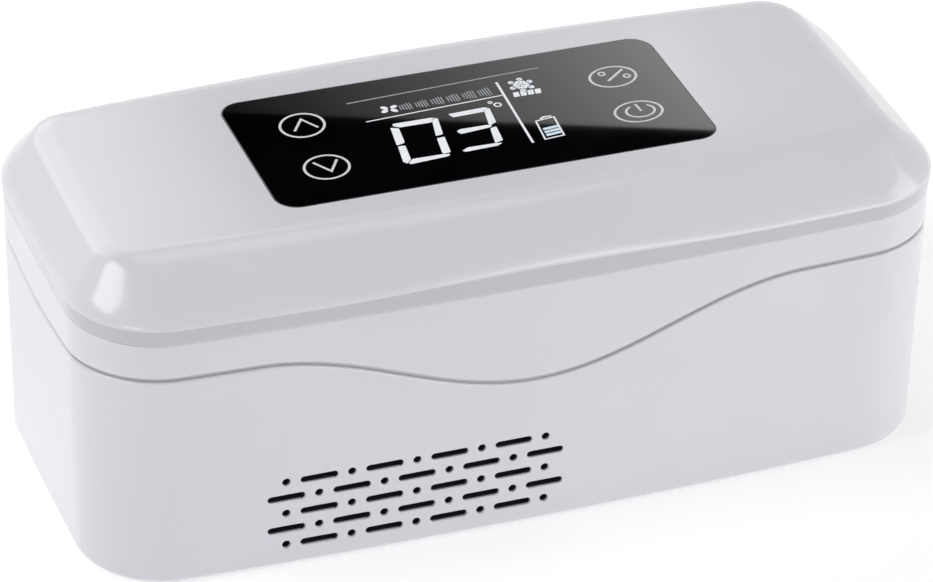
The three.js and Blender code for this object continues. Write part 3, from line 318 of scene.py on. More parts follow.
class Tree:
    def __init__(self, name, inputs):
        self.tree = bpy.data.node_groups.new(name, "GeometryNodeTree")
        self.ids = newSockets(self.tree, "INPUT", inputs)
        newSockets(self.tree, "OUTPUT", {"Geometry": "Geometry"})
        self.source = self.add("NodeGroupInput")

    def add(self, kind, values=None, **settings):
        return addNode(self.tree, kind, values, **settings)

    def math(self, operation, a, b=0.0):
        return self.add("ShaderNodeMath", {0: a, 1: b}, operation=operation)[0]

    def times(self, a, b):
        return self.math("MULTIPLY", a, b)

    def over(self, a, b):
        return self.math("DIVIDE", a, b)

    def plus(self, a, b):
        return self.math("ADD", a, b)

    def minus(self, a, b):
        return self.math("SUBTRACT", a, b)

    def vector(self, **values):
        return self.add("ShaderNodeCombineXYZ", values)[0]

    def above(self, a, b):
        return self.add("FunctionNodeCompare", {0: a, 1: b}, data_type="FLOAT", operation="GREATER_THAN")[0]

    def instances(self, points, tool, **values):
        shape = self.add("GeometryNodeObjectInfo", {"Object": tool})["Geometry"]
        return self.add("GeometryNodeInstanceOnPoints", {"Points": points, "Instance": shape, **values})[0]

    def painted(self, geometry, material, **values):
        return self.add("GeometryNodeSetMaterial", {"Geometry": geometry, "Material": material, **values})[0]

    def finish(self, geometry, material):
        whole = self.add("GeometryNodeRealizeInstances", {0: geometry})[0]
        self.add("NodeGroupOutput", {0: self.painted(whole, material)})
        return self

    def make(self, name, values):
        mesh = bpy.data.meshes.new(name)
        piece = bpy.data.objects.new(name, mesh)
        scene.collection.objects.link(piece)
        step = piece.modifiers.new("nodes", "NODES")
        step.node_group = self.tree
        for label, value in values.items():
            step[self.ids[label]] = value
        return bake(piece)


# Materials
print("materials")


# Cloudy unevenness and a fine grain, both in object space.
def surfaceGroup():
    group = bpy.data.node_groups.new("mouldedSurface", "ShaderNodeTree")
    newSockets(group, "INPUT", dict.fromkeys(("Cloud Scale", "Grain Scale", "Stretch"), "Float"))
    newSockets(group, "OUTPUT", dict.fromkeys(("Cloud", "Grain"), "Float"))
    source = addNode(group, "NodeGroupInput")
    place = addNode(group, "ShaderNodeTexCoord")["Object"]
    pull = addNode(group, "ShaderNodeCombineXYZ", {"X": 1, "Y": source["Stretch"], "Z": source["Stretch"]})[0]
    pulled = addNode(group, "ShaderNodeVectorMath", {0: place, 1: pull}, operation="MULTIPLY")[0]
    cloud = addNode(group, "ShaderNodeTexNoise", {"Scale": source["Cloud Scale"], "Vector": place, "Detail": 3})
    grain = addNode(group, "ShaderNodeTexNoise", {"Scale": source["Grain Scale"], "Vector": pulled, "Detail": 2})
    addNode(group, "NodeGroupOutput", {"Cloud": cloud["Fac"], "Grain": grain["Fac"]})
    return group


mouldedSurface = surfaceGroup()
cloudEdges = (0.35, 0.65)  # between these the cloud blends a look's two colours


def newMaterial(name):
    material = bpy.data.materials.new(name)
    material.use_nodes = True
    return material, material.node_tree


def surfaceMaterial(name, color, roughness, second=None, cloud=25, grain=1800, stretch=1, grainRoughness=False,
                    bump=0.1, depth=0.00002, metallic=0, ior=1.5, coat=0, coatRoughness=0.05, glow=0, sheen=0):
    material, tree = newMaterial(name)
    worn = addNode(tree, "ShaderNodeGroup", {
        "Cloud Scale": cloud, "Grain Scale": grain, "Stretch": stretch,
    }, node_tree=mouldedSurface)
    spread = addNode(tree, "ShaderNodeMapRange", {
        "Value": worn["Cloud"], "From Min": cloudEdges[0], "From Max": cloudEdges[1],
    })["Result"]
    tone = addNode(tree, "ShaderNodeMix", {
        "Factor": spread, "A": (*color, 1), "B": (*(second or color), 1),
    }, data_type="RGBA")["Result"]
    rough = addNode(tree, "ShaderNodeMapRange", {
        "Value": worn["Grain" if grainRoughness else "Cloud"], "To Min": roughness[0], "To Max": roughness[1],
    })["Result"]
    bumps = addNode(tree, "ShaderNodeBump", {"Height": worn["Grain"], "Strength": bump, "Distance": depth})["Normal"]
    shader = tree.nodes["Principled BSDF"]
    setInputs(tree, shader, {
        "Base Color": tone, "Roughness": rough, "Normal": bumps, "Metallic": metallic, "IOR": ior,
        "Coat Weight": coat, "Coat Roughness": coatRoughness, "Sheen Weight": sheen,
    })
    if glow:
        setInputs(tree, shader, {"Emission Color": tone, "Emission Strength": glow})
    return material


shellFinish = {"roughness": (0.3, 0.36), "cloud": 14, "grain": 900, "bump": 0.03, "coat": 0.8, "coatRoughness": 0.12}
looks = {
    "shellPlastic": {"color": (0.70, 0.683, 0.742), "second": (0.73, 0.712, 0.768), **shellFinish},
    # The skirt's darker copy of the shell plastic is painted shade on the lid's skirt band.
    "skirtPlastic": {"color": (0.53, 0.518, 0.566), "second": (0.555, 0.542, 0.59), **shellFinish},
    "grooveShade": {"color": (0.58, 0.58, 0.61), "roughness": (0.5, 0.6), "grain": 1500},
    "linerPlastic": {"color": (0.66, 0.655, 0.69), "second": (0.69, 0.685, 0.715), "roughness": (0.4, 0.5),
                     "grain": 2600, "bump": 0.3, "depth": 0.00004},
    "windowGloss": {"color": (0.001, 0.001, 0.0015), "second": (0.002, 0.002, 0.003), "roughness": (0.015, 0.035),
                    "cloud": 40, "grain": 300, "bump": 0.004, "ior": 1.6},
    "keyPrint": {"color": (0.80, 0.80, 0.82), "second": (0.68, 0.68, 0.7), "roughness": (0.35, 0.5),
                 "cloud": 500, "grain": 3000},
    "litMark": {"color": (0.92, 0.94, 0.97), "second": (0.82, 0.86, 0.92), "roughness": (0.4, 0.5),
                "cloud": 600, "glow": 0.1},
    "dimMark": {"color": (0.40, 0.42, 0.45), "second": (0.27, 0.29, 0.32), "roughness": (0.4, 0.5),
                "cloud": 900},
    "blueMark": {"color": (0.62, 0.78, 0.94), "second": (0.78, 0.87, 0.95), "roughness": (0.4, 0.5),
                 "cloud": 500, "glow": 0.1},
    "lcdGlass": {"color": (0.012, 0.014, 0.017), "second": (0.02, 0.022, 0.026), "roughness": (0.1, 0.2),
                 "cloud": 60},
    # Painted shade inside the vent slots: black deep in, grey at the lip.
    "ventShade": {"color": (0.02, 0.02, 0.023), "roughness": (0.5, 0.7)},
    "ventLip": {"color": (0.4, 0.4, 0.42), "roughness": (0.5, 0.7)},
    "laminate": {"color": (0.012, 0.10, 0.035), "second": (0.008, 0.07, 0.025), "roughness": (0.35, 0.5),
                 "cloud": 220, "grain": 1400, "bump": 0.25},
    "blackPlastic": {"color": (0.012, 0.012, 0.013), "second": (0.02, 0.02, 0.022), "roughness": (0.4, 0.55),
                     "grain": 2400, "bump": 0.3, "depth": 0.00003},
    "softRubber": {"color": (0.09, 0.09, 0.095), "second": (0.12, 0.12, 0.125), "roughness": (0.7, 0.85),
                   "grain": 2000, "bump": 0.35, "depth": 0.00004, "sheen": 0.1},
    "cellFoam": {"color": (0.82, 0.81, 0.78), "second": (0.72, 0.71, 0.68), "roughness": (0.9, 1.0),
                 "cloud": 120, "grain": 900, "bump": 0.9, "depth": 0.0003},
    "aluminium": {"color": (0.62, 0.63, 0.65), "second": (0.55, 0.56, 0.58), "roughness": (0.25, 0.42),
                  "metallic": 1, "cloud": 30, "grain": 60, "stretch": 40, "grainRoughness": True,
                  "bump": 0.15, "depth": 0.00001},
    "ceramic": {"color": (0.86, 0.85, 0.82), "second": (0.80, 0.79, 0.76), "roughness": (0.45, 0.55),
                "grain": 2600, "bump": 0.3},
    "steel": {"color": (0.46, 0.47, 0.49), "second": (0.38, 0.39, 0.41), "roughness": (0.2, 0.38),
              "metallic": 1, "cloud": 400, "grain": 1800, "bump": 0.1},
    "nickel": {"color": (0.62, 0.60, 0.56), "second": (0.54, 0.52, 0.48), "roughness": (0.22, 0.35),
               "metallic": 1, "cloud": 200, "grain": 1500, "bump": 0.12},
    "cellWrap": {"color": (0.025, 0.13, 0.42), "second": (0.03, 0.16, 0.48), "roughness": (0.25, 0.38),
                 "cloud": 90, "grain": 900, "bump": 0.15},
    "redInsulation": {"color": (0.45, 0.02, 0.012), "second": (0.38, 0.015, 0.01), "roughness": (0.4, 0.5),
                      "cloud": 300, "grain": 2000, "bump": 0.15},
}
paint = {name: surfaceMaterial(name, **look) for name, look in looks.items()}
paints += [paint[name] for name in ("shellPlastic", "grooveShade", "ventShade", "skirtPlastic")]


# Camera
print("camera")
shot = {"azimuth": -20.892, "elevation": 32.539, "roll": 0.0261, "distance": 1.12768,
        "target": (0.00025, -0.00165, 0.03422), "lens": 184.1, "sensor": 36}
turn, rise = math.radians(shot["azimuth"]), math.radians(shot["elevation"])
back = Vector((math.sin(turn) * math.cos(rise), -math.cos(turn) * math.cos(rise), math.sin(rise)))
right = (-back).cross(Vector((0, 0, 1))).normalized()
up = right.cross(-back)
rolledRight = math.cos(shot["roll"]) * right + math.sin(shot["roll"]) * up
rolledUp = math.cos(shot["roll"]) * up - math.sin(shot["roll"]) * right
lens = bpy.data.cameras.new("camera")
lens.lens = shot["lens"]
lens.sensor_width = shot["sensor"]
camera = bpy.data.objects.new("camera", lens)
scene.collection.objects.link(camera)
cameraSpot = Vector(shot["target"]) + back * shot["distance"]
axes = Matrix((rolledRight, rolledUp, back)).transposed().to_4x4()
camera.matrix_world = Matrix.Translation(cameraSpot) @ axes
scene.camera = camera


# Base
print("lower shell")
parting = {
    "drop": 9.6, "sideDip": 15.7, "sideSpan": 66.0, "endDip": 2.8, "endSpan": 42.0, "groove": 0.9, "edgeRadius": 0.6,
    "beadDepth": 0.95,  # how deep the groove lies, down to the bead that fills its bottom
    "beadGap": 0.06, "tongue": 2.2, "lowerRows": 14, "upperRows": 8,
}


def baseRing(z, inset):
    share = (seamHeight - z) / caseSize["baseHeight"]
    return bowedRing(
        caseSize["length"] / 2 - caseSize["rimStep"] + caseSize["endReach"] - caseSize["endTaper"] * share - inset,
        caseSize["width"] / 2 - caseSize["rimStep"] + caseSize["sideFlare"] * share - inset,
        caseSize["sideBow"],
        caseSize["endBow"],
        caseSize["cornerRadius"] - caseSize["rimStep"] - inset,
    )


def hump(share):
    return (1 + math.cos(math.pi * share)) / 2 if abs(share) < 1 else 0.0


def partingHeight(x, y):
    sides = parting["sideDip"] * hump(x / parting["sideSpan"])
    ends = parting["endDip"] * hump(y / parting["endSpan"])
    return seamHeight - parting["drop"] - sides - ends


waveLine = [partingHeight(x, y) for x, y in baseRing(seamHeight, 0)]


# One row round the base at heights that may differ from column to column.
def baseRow(heights, inset):
    top, bottom = baseRing(seamHeight, inset), baseRing(underside, inset)
    row = []
    for (x1, y1), (x0, y0), z in zip(top, bottom, heights):
        share = (z - underside) / caseSize["baseHeight"]
        row.append((x0 + (x1 - x0) * share, y0 + (y1 - y0) * share, z))
    return row


def flatRow(z, inset):
    return baseRow([z] * len(waveLine), inset)


def waveRow(lift, inset):
    return baseRow([z + lift for z in waveLine], inset)


rimLow = underside - caseSize["rimDrop"]
foot = rimLow + caseSize["bottomFillet"]
lowerRows = [flatRow(z, inset) for z, inset in zip((underside, rimLow), caseSize["rimInsets"])]
lowerRows += [flatRow(rimLow + rise, inset) for inset, rise in quarterRound(caseSize["bottomFillet"], 9)]
edge, groove = parting["edgeRadius"], parting["groove"]
for i in range(1, parting["lowerRows"] + 1):
    lowerRows.append(baseRow([lerp(foot, z - groove / 2 - edge, i / parting["lowerRows"]) for z in waveLine], 0))
lowerRows += [waveRow(-groove / 2 - drop, inset) for drop, inset in quarterRound(edge, 4)[1:]]
deepRow = len(lowerRows) - 1
ledge, bead, tongue = (wall + gap) / 2, parting["beadDepth"], parting["tongue"]
beadTop = groove / 2 - parting["beadGap"]
lowerRows += [waveRow(lift, inset) for lift, inset in (
    (-groove / 2, bead), (beadTop, bead), (beadTop, ledge), (tongue, ledge), (tongue, wall),
)]
inner = floorTop + caseSize["floorChamfer"]
lowerRows += [baseRow([lerp(inner, z, share) for z in waveLine], wall) for share in (0.75, 0.5, 0.25)]
lowerRows += [flatRow(inner, wall), flatRow(floorTop, wall + caseSize["floorChamfer"])]
# The groove's deep bands get painted shade.
lowerShell = sweptPiece("lower_shell", lowerRows, dict.fromkeys(range(deepRow, deepRow + 5), 1))

posts = {"endInset": 15.5, "sideInset": 14.0, "radius": 3.5, "join": 13.0, "pilot": 1.3, "headRadius": 2.8,
         "headHeight": 1.7}
screws = {"length": 13.0, "radius": 1.28, "root": 1.02, "pitch": 0.85, "crossLength": 1.6, "crossWidth": 0.36,
          "crossDepth": 1.0, "threadStart": 0.3, "plainTip": 1.8, "cone": 1.0}
postSpots = fourCorners(caseSize["length"] / 2 - posts["endInset"], caseSize["width"] / 2 - posts["sideInset"])
postJoin = underside + posts["join"]
screwSeat = underside + posts["headHeight"] + gap
board = {"length": 35.0, "width": 56.0, "endInset": 7.4, "rise": 8.0, "standoff": 3.0, "inset": 4.0, "thickness": 1.6}
boardX = caseSize["length"] / 2 - board["endInset"] - board["length"] / 2
boardBottom = floorTop + board["rise"]
boardTop = boardBottom + board["thickness"]
fan = {"x": -28.8, "size": 50.0, "holeInset": 5.0, "holeRadius": 2.1, "thickness": 10.0, "bore": 23.6, "pinTip": 0.4}
fanBottom = floorTop + gap
feet = {"x": 78.0, "y": 30.0, "radius": 7.0, "recess": 1.0}
jack = {"y": board["width"] * 0.215, "radius": 4.0, "bore": 2.8, "pin": 0.9, "height": 11.0, "width": 9.0,
        "holeStart": 95.0, "holeEnd": 110.0}
jackAxis = boardTop + gap + jack["height"] / 2

rooted = floorTop - grip
towers = postSet("boss", postSpots, posts["radius"], rooted, postJoin)
pin, wide = board["standoff"] / 2 - gap, board["standoff"]
boardSpots = fourCorners(board["length"] / 2 - board["inset"], board["width"] / 2 - board["inset"], boardX)
towers += turnedSet("standoff", boardSpots, [
    (wide, rooted), (wide, boardBottom - gap), (pin, boardBottom - gap), (pin, boardTop),
    (pin - chamfer, boardTop + gap),
], 32)
pin, top, reach = fan["holeRadius"] - gap, fanBottom + fan["thickness"] / 2, fan["size"] / 2 - fan["holeInset"]
towers += turnedSet("fanPin", fourCorners(reach, reach, fan["x"]), [
    (pin, rooted), (pin, top - fan["pinTip"]), (pin - fan["pinTip"], top),
], 32)
weld(lowerShell, *towers)

# Vents: dots and dashes that trade places from row to row, instanced on a grid that follows the wall.
vents = {
    "centreX": -28.65, "rise": 13.4, "rows": 5, "steps": 9, "pitch": 15.6, "rowPitch": 4.3, "dashLength": 8.9,
    "dashWidth": 1.65, "dotWidth": 1.9, "flare": 0.2, "depth": 6.0, "wallInset": 1.3,
    "lipShadeDepth": 0.2, "shadeDepth": 0.5,  # how deep the slots' walls get grey painted shade, and then black painted shade
    "firstRow": 0.6,
}


def slotPiece(name, length, width):
    half, radius, flare = (length - width) / 2, width / 2, vents["flare"]
    rows = []
    for y, grow in ((vents["depth"], 0), (vents["firstRow"], 0), (flare * 1.3, 0), (flare * 0.4, flare * 0.4),
                    (0.0, flare), (-2.0, flare)):
        ends = arcPoints(half, 0, radius + grow, -math.pi / 2, math.pi / 2, 8)
        ends += arcPoints(-half, 0, radius + grow, math.pi / 2, 3 * math.pi / 2, 8)
        rows.append([(x, y + caseSize["forward"], z) for x, z in ends])
    return sweptPiece(name, rows)


def ventTree():
    t = Tree("ventField", {
        "Dash": "Object", "Dot": "Object", "Rows": "Int", "Steps": "Int", "Pitch": "Float", "Row Pitch": "Float",
        "Centre": "Vector", "Wall Radius": "Float", "Shade Depth": "Float", "Lip Depth": "Float",
        "Material": "Material", "Shade": "Material", "Lip": "Material",
    })
    s = t.source
    centre = t.add("ShaderNodeSeparateXYZ", {0: s["Centre"]})

    def fromMiddle(place, count):
        return t.minus(place, t.times(t.minus(count, 1.0), 0.5))

    # How far the bowed wall has run back at an x.
    def sag(x):
        return t.over(t.times(x, x), t.times(s["Wall Radius"], 2.0))

    points = t.add("GeometryNodePoints", {"Count": t.times(s["Rows"], s["Steps"])})[0]
    index = t.add("GeometryNodeInputIndex")[0]
    row = t.math("FLOOR", t.over(index, s["Steps"]))
    step = t.minus(index, t.times(row, s["Steps"]))
    x = t.plus(centre["X"], t.times(fromMiddle(step, s["Steps"]), t.times(s["Pitch"], 0.5)))
    raised = t.times(fromMiddle(row, s["Rows"]), s["Row Pitch"])
    spot = t.vector(X=x, Y=t.plus(centre["Y"], sag(x)), Z=t.plus(centre["Z"], raised))
    placed = t.add("GeometryNodeSetPosition", {"Geometry": points, "Position": spot})[0]
    isDash = t.above(t.math("MODULO", t.plus(row, step), 2.0), 0.5)
    isDot = t.add("FunctionNodeBooleanMath", {0: isDash}, operation="NOT")[0]
    both = t.add("GeometryNodeJoinGeometry")[0]
    joinNode = both.node
    for tool, chosen in (("Dash", isDash), ("Dot", isDot)):
        t.tree.links.new(t.instances(placed, s[tool], Selection=chosen), joinNode.inputs[0])
    shaded = t.painted(t.add("GeometryNodeRealizeInstances", {0: both})[0], s["Material"])
    spot = t.add("ShaderNodeSeparateXYZ", {0: t.add("GeometryNodeInputPosition")[0]})
    into = t.minus(t.minus(spot["Y"], centre["Y"]), sag(spot["X"]))
    # Past the lip depth the slots' walls get grey painted shade, past the shade depth black painted shade.
    for material in ("Lip", "Shade"):
        shaded = t.painted(shaded, s[material], Selection=t.above(into, s[material + " Depth"]))
    t.add("NodeGroupOutput", {0: shaded})
    return t


ventRise = underside + vents["rise"]
ventFlare = caseSize["sideFlare"] * (seamHeight - ventRise) / caseSize["baseHeight"]
ventWallY = -(caseSize["width"] / 2 - caseSize["rimStep"] + ventFlare)
halfRim = caseSize["length"] / 2 - caseSize["rimStep"] - vents["wallInset"]
dashTool = slotPiece("dashTool", vents["dashLength"], vents["dashWidth"])
dotTool = slotPiece("dotTool", vents["dotWidth"], vents["dotWidth"] - 0.01)
ventField = ventTree().make("ventField", {
    "Dash": dashTool, "Dot": dotTool, "Rows": vents["rows"], "Steps": vents["steps"],
    "Pitch": vents["pitch"] * milli, "Row Pitch": vents["rowPitch"] * milli,
    "Centre": toScene((vents["centreX"], ventWallY, ventRise)),
    "Wall Radius": (halfRim ** 2 + caseSize["sideBow"] ** 2) / (2 * caseSize["sideBow"]) * milli,
    "Shade Depth": vents["shadeDepth"] * milli, "Lip Depth": vents["lipShadeDepth"] * milli,
    "Material": paint["shellPlastic"], "Shade": paint["ventShade"], "Lip": paint["ventLip"],
})
drop(dashTool, dotTool)

# Grille in the floor: arcs of slots instanced round the fan's axis.
grille = {"rings": 3, "inner": 8.0, "slot": 2.6, "rimGap": 2.6, "arcs": 4, "bridge": 4.0, "steps": 16,
          "reach": 6.0}


def grilleTree():
    t = Tree("grilleRing", {"Slot": "Object", "Count": "Int", "Centre": "Vector", "Material": "Material"})
    s = t.source
    points = t.add("GeometryNodePoints", {"Count": s["Count"], "Position": s["Centre"]})[0]
    index = t.add("GeometryNodeInputIndex")[0]
    spin = t.vector(Z=t.times(t.over(index, s["Count"]), 2 * math.pi))
    return t.finish(t.instances(points, s["Slot"], Rotation=spin), s["Material"])


grilleMaker = grilleTree()
grilleTools = []
grilleRoom = fan["bore"] - grille["rimGap"] - grille["slot"] - grille["inner"]
for ring in range(grille["rings"]):
    inner = grille["inner"] + grilleRoom * ring / (grille["rings"] - 1)
    outer = inner + grille["slot"]
    start = grille["bridge"] / (inner + outer)
    end = 2 * math.pi / grille["arcs"] - start
    outline = arcPoints(0, caseSize["forward"], outer, start, end, grille["steps"])
    outline += arcPoints(0, caseSize["forward"], inner, end, start, grille["steps"])
    slotTool = prismPiece("slotTool", outline, -grille["reach"], grille["reach"])
    grilleTools.append(grilleMaker.make("grilleTool", {
        "Slot": slotTool, "Count": grille["arcs"], "Centre": toScene((fan["x"], 0, underside)),
        "Material": paint["shellPlastic"],
    }))
    drop(slotTool)


# The stepped holes for screws and their heads, which come from below.
def screwBores(spots, mouth, seat, top):
    wide, narrow = posts["headRadius"] + gap, posts["pilot"] + gap
    return turnedSet("screwHole", spots, [
        (wide + chamfer, mouth - past), (wide + chamfer, mouth), (wide, mouth + chamfer), (wide, seat),
        (narrow, seat), (narrow, top),
    ])


def screwPilots(spots, low, high):
    return postSet("pilot", spots, posts["pilot"] + gap / 2, low, high, 24)


feetSpots = fourCorners(feet["x"], feet["y"])
holes = [ventField, *grilleTools, *screwBores(postSpots, underside, screwSeat, postJoin + past)]
holes += postSet("footHole", feetSpots, feet["radius"] + gap, underside - past, underside + feet["recess"], 64)
jackHole = circlePoints(jack["radius"] + gap, 48, jack["y"], jackAxis)
holes.append(barPiece("jackHole", jackHole, jack["holeStart"], jack["holeEnd"]))
cut(lowerShell, *holes)
fit(smooth(lowerShell), "case", "shell", None, "lower_housing")

print("upper shell")
tray = {"length": 180.0, "width": 54.0, "depth": 24.0, "radius": 9.0, "draft": 1.5, "fillet": 4.0, "sheet": 1.2,
        "flange": 3.0, "flangeThickness": 1.0, "deck": 3.0, "floorRadius": 3.0}
deckLow = rimTop - tray["deck"]
magnets = {"radius": 4.0, "x": 62.0, "y": -38.8, "skin": 0.8}
hinge = {"x": 52.0, "y": 48.5, "radius": 2.8, "pin": 1.1, "length": 30.0, "lidLength": 13.4, "baseDrop": 6.6,
         "lidRise": 5.6, "sunk": 0.6, "webTurn": 0.7}
bothSides = (-1, 1)


def trayRing(out):
    return grownRing(tray, out)


def magnetPocket(side, low, high):
    return postSet("pocket", [(side * magnets["x"], magnets["y"])], magnets["radius"] + gap, low, high)


def hingeRod(name, radius, low, high, steps=40):
    return barPiece(name, circlePoints(radius, steps, hinge["y"], seamHeight), low, high)


# Where the knuckles of one hinge lie along its pin: one on the lid, between two on the base.
def lidSpans(side):
    middle, half = side * hinge["x"], hinge["lidLength"] / 2
    return [(middle - half, middle + half)]


def baseSpans(side):
    middle, inner, outer = side * hinge["x"], hinge["lidLength"] / 2 + gap, hinge["length"] / 2
    return [(middle - outer, middle - inner), (middle + inner, middle + outer)]


# Room for the other half's knuckles.
def reliefs(spans):
    return [hingeRod("relief", hinge["radius"] + gap, low - gap, high + gap) for low, high in spans]


# Knuckles with a web to the wall, above the pin for the lid and below it for the base, and the pin's bore.
def addKnuckles(piece, rise, spans):
    y0, r = hinge["y"], hinge["radius"]
    turn = 2 * math.pi + hinge["webTurn"] if rise > 0 else -hinge["webTurn"]
    root = y0 - r - hinge["sunk"]
    outline = [(root, seamHeight), *arcPoints(y0, seamHeight, r, math.pi, turn, 26), (root, seamHeight + rise)]
    weld(piece, *[barPiece("knuckle", outline, low, high) for side in bothSides for low, high in spans(side)])
    cut(piece, *[hingeRod("pinHole", hinge["pin"] + gap, spans(side)[0][0] - past, spans(side)[-1][1] + past, 24)
                 for side in bothSides])


upperInset, tongueTop = (wall - gap) / 2, parting["tongue"] + gap
upperRows = [flatRow(deckLow, wall), waveRow(tongueTop, wall), waveRow(tongueTop, upperInset),
             waveRow(groove / 2, upperInset)]
upperRows += [waveRow(groove / 2 + rise, inset) for inset, rise in quarterRound(edge, 4)]
topRound = caseSize["topRound"]
for i in range(1, parting["upperRows"] + 1):
    share = i / parting["upperRows"]
    upperRows.append(baseRow([lerp(z + groove / 2 + edge, rimTop - topRound, share) for z in waveLine], 0))
upperRows += [flatRow(rimTop - drop, inset) for drop, inset in quarterRound(topRound, 4)[1:]]
# The bands round the groove's recess get painted shade.
upperShell = sweptPiece("upper_shell", upperRows, dict.fromkeys((1, 2, 3), 1))
weld(upperShell, *postSet("post", postSpots, posts["radius"], postJoin + gap, deckLow + grip))
upperHoles = [
    prismPiece("mouth", trayRing(tray["sheet"] + gap), deckLow - past, rimTop + past),
    prismPiece("rebate", trayRing(tray["flange"] + gap), rimTop - tray["flangeThickness"] - gap, rimTop + past),
    *screwPilots(postSpots, postJoin - past, screwSeat + screws["length"] + past),
]
for side in bothSides:
    upperHoles += magnetPocket(side, deckLow - past, rimTop - magnets["skin"]) + reliefs(lidSpans(side))
cut(upperShell, *upperHoles)
addKnuckles(upperShell, -hinge["baseDrop"], baseSpans)
fit(smooth(upperShell), "case", "shell", None, "upper_housing")

print("chamber tray")


def pan(name, out, low, top):
    rows = []
    for inset, rise in quarterRound(tray["fillet"], 8):
        inset += tray["draft"] - out
        radius = max(tray["radius"] - inset, tray["floorRadius"])
        rows.append(level(roundedRing(tray["length"] / 2 - inset, tray["width"] / 2 - inset, radius, 14), low + rise))
    return sweptPiece(name, [*rows, level(trayRing(out), top)])


trayFloor = rimTop - tray["depth"]
chamber = pan("chamber_pan", tray["sheet"], trayFloor - tray["sheet"], rimTop)
flange = tray["flange"]
weld(chamber, grownPiece("flange", trayRing, [
    (flange, rimTop - tray["flangeThickness"]), (flange, rimTop - chamfer), (flange - chamfer, rimTop),
]))
cut(chamber, pan("hollow", 0, trayFloor, rimTop + past))
fit(smooth(chamber), "case", "bare_aluminium", "aluminium", "chamber_tray")

# Lid
print("lid")
lidSize = {
    "skirtHeight": 5.9, "bevelHeight": 10.0, "endBevel": 8.4, "sideBevel": 11.5, "plateauRadius": 8.8,
    "plateauBow": 4.0, "plateauFall": 0.7, "plateauMargin": 4.0, "skirtSoftness": 1.7, "bevelSoftness": 4.6,
    "ridgeSoftness": 2.8, "top": 3.2,
    "undercut": 0.3,  # the skirt leans in towards its lower edge
    "lip": 0.3,  # the skirt reaches this far into the seam
    "lipRadius": 0.25, "lipInsets": (1.6, 1.5), "softSteps": 12, "bevelSteps": 7, "skirtShares": (0.35, 0.7),
    "plateauBack": 1.7, "rightFall": 0.029,  # the plateau lies towards the hinge and away from the right end
    "frontFlat": 1.5, "flatX": 96.0, "flatY": 36.0,  # at flatX the front ridge lies this far forward, so it bows less
    "crown": {"low": -0.5, "rise": 1.75, "middle": 3.0, "span": 58.0},  # how the skirt's upper edge arches
}
skirtBottom = seamHeight + caseSize["seamGap"] / 2
skirtTop = seamHeight + lidSize["skirtHeight"]
plateau = skirtTop + lidSize["bevelHeight"]
lidInnerTop = plateau - lidSize["top"]


def lidRing(plan, inset=0.0):
    share = min(plan / lidSize["sideBevel"], 1)
    beyond = max(plan - lidSize["sideBevel"], 0) + inset
    ring = bowedRing(
        caseSize["length"] / 2 - lidSize["endBevel"] * share - beyond,
        caseSize["width"] / 2 - lidSize["sideBevel"] * share - beyond,
        lerp(caseSize["sideBow"], lidSize["plateauBow"], share),
        caseSize["endBow"],
        lerp(caseSize["cornerRadius"], lidSize["plateauRadius"], share) - beyond,
    )
    moved = []
    for x, y in ring:
        flat = lidSize["frontFlat"] * max(0, -y) / lidSize["flatY"] * (x / lidSize["flatX"]) ** 2
        moved.append((x * (1 - lidSize["rightFall"] * share * (x > 0)), y + share * (lidSize["plateauBack"] - flat)))
    return moved


# One row round the lid: its height follows the skirt's arched edge, most of all at that edge.
def lidRow(z, plan, inset=0.0):
    crown = lidSize["crown"]
    ridge = plateau - lidSize["plateauFall"]
    weight = min((z - skirtBottom) / (skirtTop - skirtBottom), (ridge - z) / (ridge - skirtTop))
    row = []
    for x, y in lidRing(plan, inset):
        lift = crown["low"] + crown["rise"] * hump((x - crown["middle"]) / crown["span"])
        row.append((x, y, z + lift * max(weight, 0)))
    return row


def lidProfile():
    bottom, edgeSpot = (0, skirtBottom), (0, skirtTop)
    ridge = (lidSize["sideBevel"], plateau - lidSize["plateauFall"])
    flat = (lidSize["sideBevel"] + lidSize["plateauMargin"], plateau)
    soft, steps = lidSize["softSteps"], lidSize["bevelSteps"]
    lower = softCorner(bottom, edgeSpot, ridge, lidSize["skirtSoftness"], soft, lidSize["bevelSoftness"])
    upper = softCorner(edgeSpot, ridge, flat, lidSize["ridgeSoftness"], soft)
    bevel = [lower[-1].lerp(upper[0], i / steps) for i in range(1, steps)]
    return [*lower, *bevel, *upper, Vector(flat)]


lipLow, under = skirtBottom - lidSize["lip"], lidSize["undercut"]
lipInner, lipTip = lidSize["lipInsets"]
lidRows = [level(lidRing(lidSize["sideBevel"]), lidInnerTop)]
lidRows += [level(lidRing(0, inset), z) for inset, z in (
    (wall, skirtTop - wall / 2), (wall, skirtBottom + chamfer), (wall - chamfer, skirtBottom),
    (lipInner, skirtBottom), (lipTip, lipLow),
)]
lidRows += [level(lidRing(0, under + inset), lipLow + rise) for inset, rise in quarterRound(lidSize["lipRadius"], 4)]
skirtRow = len(lidRows) - 1
for share in lidSize["skirtShares"]:
    height = lerp(skirtBottom, skirtTop - lidSize["skirtSoftness"], share)
    lidRows.append(lidRow(height, 0, under * (1 - share)))
lidRows += [lidRow(p.y, p.x) for p in lidProfile()]
# The skirt's bands take the darker plastic: painted shade.
lidCover = sweptPiece("lid_cover", lidRows, dict.fromkeys(range(skirtRow, skirtRow + 3), 3))

